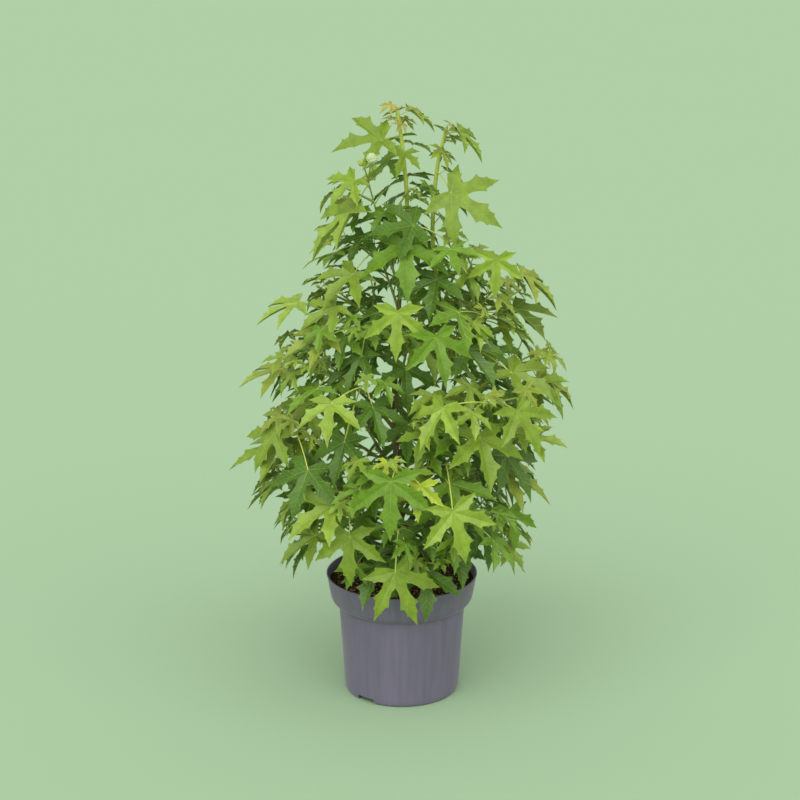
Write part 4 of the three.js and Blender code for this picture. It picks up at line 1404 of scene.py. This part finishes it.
# %% The outline of half a lobe
NOTCH_REACH = {28: 0.262, 68: 0.05}  # how far out the notch beside a lobe lies, by its angle from the midrib
RIMS = {  # the rim from the notch to the lobe's tip, along and aside of the midrib
    "middle": [(0.34, 0.106), (0.45, 0.128), (0.60, 0.202), (0.63, 0.136), (0.70, 0.118), (0.765, 0.124),
               (0.785, 0.086), (0.88, 0.042)],
    "inner": [(0.33, 0.092), (0.44, 0.104), (0.575, 0.148), (0.595, 0.098), (0.67, 0.074), (0.715, 0.074),
              (0.73, 0.050)],
    "outer": [(0.33, 0.110), (0.42, 0.132), (0.52, 0.192), (0.545, 0.130), (0.62, 0.104), (0.68, 0.108),
              (0.70, 0.070), (0.78, 0.036)],
    "low": [(0.31, 0.088), (0.385, 0.096), (0.40, 0.060), (0.47, 0.032)],
    "heel": [(0.10, 0.080), (0.20, 0.104), (0.325, 0.136), (0.34, 0.088), (0.42, 0.056)],
}
HALVES = [  # the lobe's turn, its length, the half's side, the notch beside it, its rim
    (0, 1.0, 1, 28, "middle"), (0, 1.0, -1, 28, "middle"),
    (56, 0.88, -1, 28, "inner"), (56, 0.88, 1, 28, "outer"),
    (-56, 0.88, 1, 28, "inner"), (-56, 0.88, -1, 28, "outer"),
    (112, 0.56, -1, 28, "low"), (112, 0.56, 1, 68, "heel"),
    (-112, 0.56, 1, 28, "low"), (-112, 0.56, -1, 68, "heel"),
]
RIB_SLANT = 0.45  # how far the side ribs lean towards the tip
SAME_PLACE = 1e-6


def half_rim(length, notch, name):
    reach, way = NOTCH_REACH[notch], math.radians(notch)
    return [(reach * math.cos(way), reach * math.sin(way)), *RIMS[name], (length, 0)]


def half_columns(length, notch, name):
    """Rows of places across a half lobe, from the midrib to the edge, and whether each is on the rim."""
    rim = half_rim(length, notch, name)
    root = rim[0]
    edge = [(0, 0), (root[0] * 0.5, root[1] * 0.5), *rim]
    columns = []
    for number, (along, aside) in enumerate(edge):
        tip = number in (0, len(edge) - 1)
        rib = along if tip else max(along - RIB_SLANT * aside, 0.4 * along)
        is_rim = number > 1
        places = [(rib, 0, is_rim and tip)]
        if not tip:
            places += [((rib + along) / 2, aside / 2, False), (along, aside, is_rim)]
        columns.append(places)
    return columns


print(len(HALVES), "half lobes with", sum(len(half_columns(*half[1::2], half[4])) for half in HALVES), "rows")

# %% The flat blade
def star_blade():
    """The flat blade: corners on it, each one's place in its lobe, its rim, and its faces."""
    found, flat, lobe_place, on_rim, faces, maps = {}, [], [], [], [], []
    ribs = {}  # both halves of a lobe share every corner on its midrib, which closes the blade
    for turn, length, side, notch, name in HALVES:
        ribs.setdefault(turn, set()).update(places[0][0] for places in half_columns(length, notch, name))

    def corner(turn, side, along, aside, rim):
        way = math.radians(turn)
        x = along * math.cos(way) - side * aside * math.sin(way)
        y = along * math.sin(way) + side * aside * math.cos(way)
        key = (round(x, 4), round(y, 4))
        if key not in found:
            found[key] = len(flat)
            flat.append((x, y))
            lobe_place.append((along, aside))
            on_rim.append(rim)
        return found[key], (along, side * aside)

    for turn, length, side, notch, name in HALVES:
        half = half_columns(length, notch, name)
        columns = [[corner(turn, side, *place) for place in places] for places in half]
        for start, end, one, other in zip(half, half[1:], columns, columns[1:]):
            low, high = start[0][0] + SAME_PLACE, end[0][0] - SAME_PLACE
            between = sorted(rib for rib in ribs[turn] if low < rib < high)
            for r in range(max(len(one), len(other)) - 1):
                ring = [one[min(r, len(one) - 1)]]
                if r == 0:
                    ring += [corner(turn, side, rib, 0, False) for rib in between]
                ring += [other[min(r, len(other) - 1)], other[min(r + 1, len(other) - 1)],
                         one[min(r + 1, len(one) - 1)]]
                kept = [c for i, c in enumerate(ring) if c[0] != ring[i - 1][0]]
                if side < 0:
                    kept.reverse()
                faces.append([c[0] for c in kept])
                maps.append([c[1] for c in kept])
    return np.array(flat), np.array(lobe_place), np.array(on_rim), faces, maps


BLADE_FLAT, BLADE_PLACE, BLADE_RIM, BLADE_FACES, BLADE_MAPS = star_blade()
UNDER_NUMBER = np.where(BLADE_RIM, np.arange(len(BLADE_FLAT)), -1)
UNDER_NUMBER[~BLADE_RIM] = len(BLADE_FLAT) + np.arange((~BLADE_RIM).sum())
print("a blade has", 2 * sum(len(face) - 2 for face in BLADE_FACES), "triangles")

# %% [markdown]
# ## Every leaf its own
# Grown from one pattern, the leaves would look stamped out. So each leaf folds, cups, droops and
# ripples by its own seeded numbers, and its lobes spread a little more or less.

# %% Bending the blade
BLADE_THICK = 0.6
ROLL = 30  # how far a leaf may turn on its midrib, in degrees
LEVEL = 0.85  # how much of the way a leaf that points sideways turns its face back to the sky
OUTWARD = 0.35  # how far the open sky lies to the outside of the crown
BEND = {"fold": (0.30, 0.55), "cup": (-0.18, 0.36), "droop": (0.04, 0.40), "ripple": (0, 0.10)}
DROOP_FROM = 0.55  # how far out a blade starts to droop
RIPPLES = 11  # how close together the ripples lie along a lobe
SHOWN_SPREAD = {
    "over_rim": -0.2, "left_yellow": -0.25, "left_pair": -0.2, "far_left": -0.2, "wide_right": -0.2,
}
SHOWN_ROLL = {
    "tip_bronze": -60, "tip_right": -14, "top_left": 28, "bud_leaf": -6, "right_shoulder": -6,
    "left_yellow": 8, "left_pair": 22, "wide_left": 8, "far_left": 12, "left_shoulder": 20, "low_left": 20,
    "low_left_lime": 20,
    "right_face": -14, "right_yellow": -16, "wide_right": -16, "right_level": -12, "far_right": -12,
}


def levelled(leaf):
    """The turn about its midrib that brings a leaf's face back to the open sky."""
    x, y, _ = leaf["middle"]
    aim = UP + OUTWARD * unit(vec(x, y, 0))
    sky = unit(aim - leaf["tip"] * (aim @ leaf["tip"]))
    return math.atan2(cross(leaf["face"], sky) @ leaf["tip"], leaf["face"] @ sky)


class Bend:
    """How one leaf's blade is bent."""

    def __init__(self, leaf, number):
        random = seeded(4000 + number)
        if "name" in leaf:
            turn = math.radians(SHOWN_ROLL.get(leaf["name"], 0))
        else:
            sideways = leaf["tip"][0] ** 2 / (leaf["tip"][0] ** 2 + leaf["tip"][1] ** 2)
            turn = math.radians(ROLL * (2 * random() - 1)) + LEVEL * sideways * levelled(leaf)
        face, aside = leaf["face"], leaf["aside"]
        self.leaf = {**leaf, "face": face * math.cos(turn) - aside * math.sin(turn),
                     "aside": aside * math.cos(turn) + face * math.sin(turn)}
        self.fold, self.cup, self.droop, self.ripple = (varied(play, random) for play in BEND.values())
        self.spread = SHOWN_SPREAD.get(leaf.get("name"), 0.16 * (random() - 0.6))
        self.sway = 0.12 * (random() - 0.5)
        self.phase = 6.3 * random()

    def at(self, flat, place, lift=0.0):
        """Where points of the flat blade come to lie; lift is how far above its face, in millimetres."""
        leaf = self.leaf
        reach, turn = np.hypot(flat[:, 0], flat[:, 1]), np.arctan2(flat[:, 1], flat[:, 0])
        turn = turn + self.spread * np.sin(turn) + self.sway * reach * reach
        x, y = reach * np.cos(turn), reach * np.sin(turn)
        along, aside = place[:, 0], place[:, 1]
        high = (self.fold * aside * (1 - 0.8 * aside) + self.cup * np.abs(y) - LEAF["curl"] * reach ** 2
                - self.droop * np.maximum(0, reach - DROOP_FROM) ** 2
                + self.ripple * np.sin(RIPPLES * along + self.phase) * aside)
        size = leaf["size"]
        return (leaf["middle"] + np.outer(x * size, leaf["tip"]) + np.outer(y * size, leaf["aside"])
                + np.outer(high * size + lift, leaf["face"]))


def blade_body(bend):
    top = bend.at(BLADE_FLAT, BLADE_PLACE, np.where(BLADE_RIM, 0, BLADE_THICK / 2))
    under = bend.at(BLADE_FLAT[~BLADE_RIM], BLADE_PLACE[~BLADE_RIM], -BLADE_THICK / 2)
    faces = BLADE_FACES + [[int(UNDER_NUMBER[c]) for c in reversed(face)] for face in BLADE_FACES]
    uv = [place for ring in BLADE_MAPS for place in ring]
    uv += [place for ring in BLADE_MAPS for place in reversed(ring)]
    return np.concatenate((top, under)), faces, uv, [0] * len(BLADE_FACES) + [1] * len(BLADE_FACES)


named = [leaf["name"] for leaf in leaves if "name" in leaf]
print(len(named), "named leaves,", len(set(SHOWN_ROLL) & set(named)), "with a roll of their own")

# %% [markdown]
# ## Leaf finish
# A leaf is waxy and darker above, dull and paler below, and thin enough for light to come through.
# Young leaves are yellow-green and the very tips bronze, while old leaves deep in the crown are dark.
# Each of those is a plain colour of its own, dealt out by where a leaf stands and how old it is.

# %% Leaf materials
TINTS = {  # the upper face, and the under face
    "deep": (linear(82, 120, 26), linear(118, 148, 66)),
    "full": (linear(106, 146, 26), linear(132, 160, 68)),
    "fresh": (linear(126, 154, 38), linear(143, 163, 76)),
    "lime": (linear(146, 174, 56), linear(155, 176, 84)),
    "yellow": (linear(176, 196, 54), linear(174, 194, 84)),
    "olive": (linear(142, 160, 50), linear(148, 162, 80)),
    "bronze": (linear(172, 164, 68), linear(170, 163, 88)),
}
VEIN_GREEN = linear(172, 198, 104)
WAXY, DULL = 0.40, 0.6  # how rough a leaf is above and below
LIGHT_THROUGH = 0.24  # how much of the light comes through it


def leaf_material(name, colour, roughness):
    paint = Paint(name, translucent=LIGHT_THROUGH)
    mottle = paint.noise(70, 3.0)
    spots = paint.noise(420, 2.0)
    place = paint.node("ShaderNodeUVMap", {"uv_map": "blade"})
    along = paint.node("ShaderNodeSeparateXYZ", inputs={0: place}, output=0)
    aside = paint.node("ShaderNodeSeparateXYZ", inputs={0: place}, output=1).size()
    rib = ((along - aside * 0.85) * 10).math("FRACT")
    side_rib = ((rib - 0.5).size() * 2).step(0.84, 1.0) * (1 - aside.step(0.1, 0.26))
    lighter = tuple(min(1, c * 1.22) for c in colour)
    darker = tuple(c * 0.84 for c in colour)
    tint = paint.blend((mottle * 0.7 + spots * 0.3).step(0.3, 0.7), darker, lighter)
    veined = paint.blend(side_rib * 0.28, tint, VEIN_GREEN)
    glow = tuple(min(1, c * k) for c, k in zip(colour, (1.5, 1.35, 0.8)))
    paint.through.inputs["Color"].default_value = (*glow, 1)
    return paint.set(base_color=veined, roughness=roughness + mottle * 0.12, specular_ior_level=0.5,
                     normal=paint.bump(side_rib * 0.6 + mottle * 0.8, 0.35, 0.0008))


LEAF_MATERIALS = {
    name: (leaf_material(f"{name}_leaf", upper, WAXY), leaf_material(f"{name}_underleaf", under, DULL))
    for name, (upper, under) in TINTS.items()
}
print(len(LEAF_MATERIALS), "tints of leaf")

# %% Which leaf has which tint
SHOWN_TINTS = {
    "lime": ("bud_low", "right_young", "middle_lime", "middle_twist", "left_lime", "low_left_lime",
             "low_right_lime", "top_left", "left_yellow", "right_yellow"),
    "olive": ("right_shoulder", "far_right", "left_pair", "far_left", "wide_right", "tip_bronze"),
    "yellow": ("young_star",),
    "fresh": ("front_left", "low_left", "top_right", "over_rim", "right_star", "bud_leaf", "left_shoulder",
              "right_face", "tip_back", "wide_left", "tip_right"),
    "full": ("middle_right", "big_star", "right_level", "low_right"),
    "deep": ("top_middle", "left_dark", "low_right_dark", "inner_right", "inner_left", "inner_middle",
             "inner_high", "inner_side", "inner_low"),
}
TINT_OF = {leaf: tint for tint, names in SHOWN_TINTS.items() for leaf in names}
TINT_STEPS = (("deep", -0.04), ("full", 0.22), ("fresh", 0.42), ("lime", 0.54), ("olive", math.inf))
YELLOW = {"size": 44, "score": 0.1, "share": 0.08}  # some of the smallest leaves are bright yellow-green
BRONZE_ABOVE = 930
CROWN_HIGH = 780  # from the ground to the top
LIGHTER = {"out": 0.7, "youth": 0.34, "high": 0.36, "play": 0.5}  # what makes a leaf lighter


def tint_of(leaf, number):
    """Dark inside, lighter towards the outside, the top and the young end of each twig."""
    if leaf.get("name") in TINT_OF:
        return TINT_OF[leaf["name"]]
    x, y, z = leaf["middle"]
    random = seeded(9000 + number)
    out = math.hypot(x, y) / max(1, crown_reach(np.array([leaf["middle"]]))[0])
    youth = (LEAF["old"] - leaf["size"]) / (LEAF["old"] - LEAF["young"])
    high = (z - GROUND) / CROWN_HIGH
    score = (LIGHTER["out"] * (out - 0.62) + LIGHTER["youth"] * youth + LIGHTER["high"] * (high - 0.5)
             + LIGHTER["play"] * (random() - 0.5))
    if leaf.get("newest") or z > BRONZE_ABOVE:
        return "bronze"
    if leaf["size"] < YELLOW["size"] and score > YELLOW["score"] and random() < YELLOW["share"]:
        return "yellow"
    return next(name for name, most in TINT_STEPS if score < most)


given = [tint_of(leaf, number) for number, leaf in enumerate(leaves)]
print({name: given.count(name) for name in TINTS})

# %% [markdown]
# ## Veins
# The main veins are pale and stand out from both faces, so they are thin four-sided bars that taper
# from the stalk to each lobe's tip, with a few side veins that run out to the larger teeth. They are
# bent with the same numbers as their blade, so they lie in it.

# %% Veins
MIDRIBS = ((0, 1.0, 7), (56, 0.88, 6), (-56, 0.88, 6), (112, 0.56, 4), (-112, 0.56, 4))
SIDE_VEINS = (  # the lobe's turn, where the vein leaves the midrib, where it ends along and aside
    (0, 0.34, 0.60, 0.22), (0, 0.34, 0.60, -0.22), (0, 0.56, 0.76, 0.135), (0, 0.56, 0.76, -0.135),
    (56, 0.28, 0.51, 0.20), (56, 0.34, 0.57, -0.15), (-56, 0.28, 0.51, -0.20), (-56, 0.34, 0.57, 0.15),
)
VEIN = {"foot": 0.62, "tip": 0.22, "proud": 0.5, "side": 0.3, "side_tip": 0.1, "full_size": 80,
        "start": 0.01, "end": 0.96, "side_start": 0.004}  # where they begin and end, in a lobe's own measure


def vein_body(bend, turn, ends, steps, foot, tip):
    """A bar from one place in a lobe to another."""
    way = math.radians(turn)
    (u0, v0), (u1, v1) = ends
    share = np.linspace(0, 1, steps + 1)
    along, aside = mix(u0, u1, share), mix(v0, v1, share)
    flat = (along * math.cos(way) - aside * math.sin(way), along * math.sin(way) + aside * math.cos(way))
    line = bend.at(np.stack(flat, 1), np.stack((along, np.abs(aside)), 1))
    run = unit(line[-1] - line[0])
    across = unit(cross(bend.leaf["face"], run))
    wide = mix(foot, tip, share)[:, None]
    proud = bend.leaf["face"] * (BLADE_THICK / 2 + VEIN["proud"] * mix(1, 0.5, share)[:, None])
    rings = np.stack((line + across * wide, line + proud, line - across * wide, line - proud), 1)
    return rings.reshape(-1, 3), ringed_faces(steps + 1, 4)


print("a leaf has", len(MIDRIBS), "midribs and", len(SIDE_VEINS), "side veins")

# %% Put the leaves on
YOUNG_TINTS = ("lime", "yellow", "olive", "bronze")
BLADE_ANGLE = 24  # a sharper fold stays an edge


def grow_leaves():
    blades = {name: Gathered() for name in TINTS}
    veins, side_veins = Gathered(), Gathered()
    for number, leaf in enumerate(leaves):
        bend = Bend(leaf, number)
        blades[given[number]].add(*blade_body(bend))
        thick = min(1, leaf["size"] / VEIN["full_size"])
        foot, tip, side = (VEIN[part] * thick for part in ("foot", "tip", "side"))
        for turn, length, steps in MIDRIBS:
            ends = ((VEIN["start"], 0), (length * VEIN["end"], 0))
            veins.add(*vein_body(bend, turn, ends, steps, foot, tip))
        for turn, start, along, aside in SIDE_VEINS:
            ends = ((start, math.copysign(VEIN["side_start"], aside)), (along, aside))
            side_veins.add(*vein_body(bend, turn, ends, 2, side, VEIN["side_tip"]))
    return blades, veins, side_veins


blades, veins, side_veins = grow_leaves()
for name, gathered in blades.items():
    slot = "young_leaves" if name in YOUNG_TINTS else "leaves"
    piece = gathered.piece(f"leaf_blades_{name}", *LEAF_MATERIALS[name])
    finish_piece(piece, slot, *MASS_NODES, angle=BLADE_ANGLE)

# %% Veins, twigs and stalks, each kind in one mesh
vein_finish = plain_material("leaf_vein", VEIN_GREEN, 0.5, 0.05, 200)
finish_piece(veins.piece("leaf_veins", vein_finish), "leaves", *MASS_NODES)
finish_piece(side_veins.piece("side_veins", vein_finish), "leaves", *MASS_NODES)
GREEN_PIECES = (
    (twigs, "green_twigs", TWIG_GREEN, "leaves"),
    (shoots, "green_shoots", SHOOT_GREEN, "leaves"),
    (tip_buds, "tip_buds", BUD_GREEN, "young_leaves"),
)
for gathered, name, colour, slot in GREEN_PIECES:
    green = plain_material(name, colour, 0.55, 0.08, 150)
    finish_piece(gathered.piece(name, green), slot, *MASS_NODES)
finish_piece(grow_stalks(), "young_leaves", *MASS_NODES)

# %% [markdown]
# ## Flower buds
# One round pale bud and two smaller ones stand on short stalks beside the leader. Each is a ball of
# many small knobs. A bump in the material wouldn't show on its rim, so a texture of cells pushes the
# ball's surface out and in.

# %% Flower buds
KNOBS = {"wide": 0.4, "strength": 0.34}  # beside the bud's radius
BUD_STALK = {"radius": 1.3, "rings": 9}
FLOWER_BUDS = (  # place in millimetres, radius, colour
    ("round_bud", (-45, -72, 893), 8.4, linear(186, 200, 152)),
    ("left_bud", (-61, -66, 886), 5.8, linear(170, 182, 96)),
    ("low_bud", (-42, -62, 878), 4.6, linear(166, 182, 92)),
)


def make_flower_bud(name, place, radius, colour):
    deselect()
    bpy.ops.mesh.primitive_ico_sphere_add(subdivisions=5, radius=radius * MM, location=vec(*place) * MM)
    bud = bpy.context.object
    bud.name = name
    settle(bud)
    cells = bpy.data.textures.new("knobs", "VORONOI")
    cells.noise_scale = radius * MM * KNOBS["wide"]
    modify(bud, "DISPLACE", texture=cells, texture_coords="LOCAL", strength=-radius * MM * KNOBS["strength"],
           mid_level=0.4)
    bud.data.materials.append(plain_material(name, colour, 0.6, 0.06, 300))
    finish_piece(bud, "young_leaves", *MASS_NODES)


bud_stalks = Gathered()
twig_points = [twig["line"].point(mix(twig["from"], 1, i / 30))
               for mass in masses for twig in mass["twigs"] for i in range(31)]
for name, place, radius, colour in FLOWER_BUDS:
    make_flower_bud(name, place, radius, colour)
    below, under = vec(*place) - UP * 2 * radius, vec(*place) - UP * radius * 0.5
    line = stalk_line(min(twig_points, key=lambda point: math.dist(point, below)), under)
    points = [line.point(t) for t in np.linspace(0, 1, BUD_STALK["rings"])]
    radii = [BUD_STALK["radius"]] * len(points)
    bud_stalks.add(*tube(points, radii, TWIG_SIDES, guide_for(line, 0, 1)))
stalks_of_buds = bud_stalks.piece("bud_stalks", plain_material("bud_stalk", STALK_GREEN, 0.5, 0.08, 120))
finish_piece(stalks_of_buds, "young_leaves", *MASS_NODES)

# %% [markdown]
# ## Measure and finish
# The box of all that shows is kept beside the solids' own box. The pieces should reach as far as the
# solids do and hardly farther, because the solids say how much room the plant takes.

# %% Measure and finish
VISUAL_BOX = [list(map(float, corner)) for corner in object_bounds()]
print("visual box", [[round(v, 3) for v in corner] for corner in VISUAL_BOX])
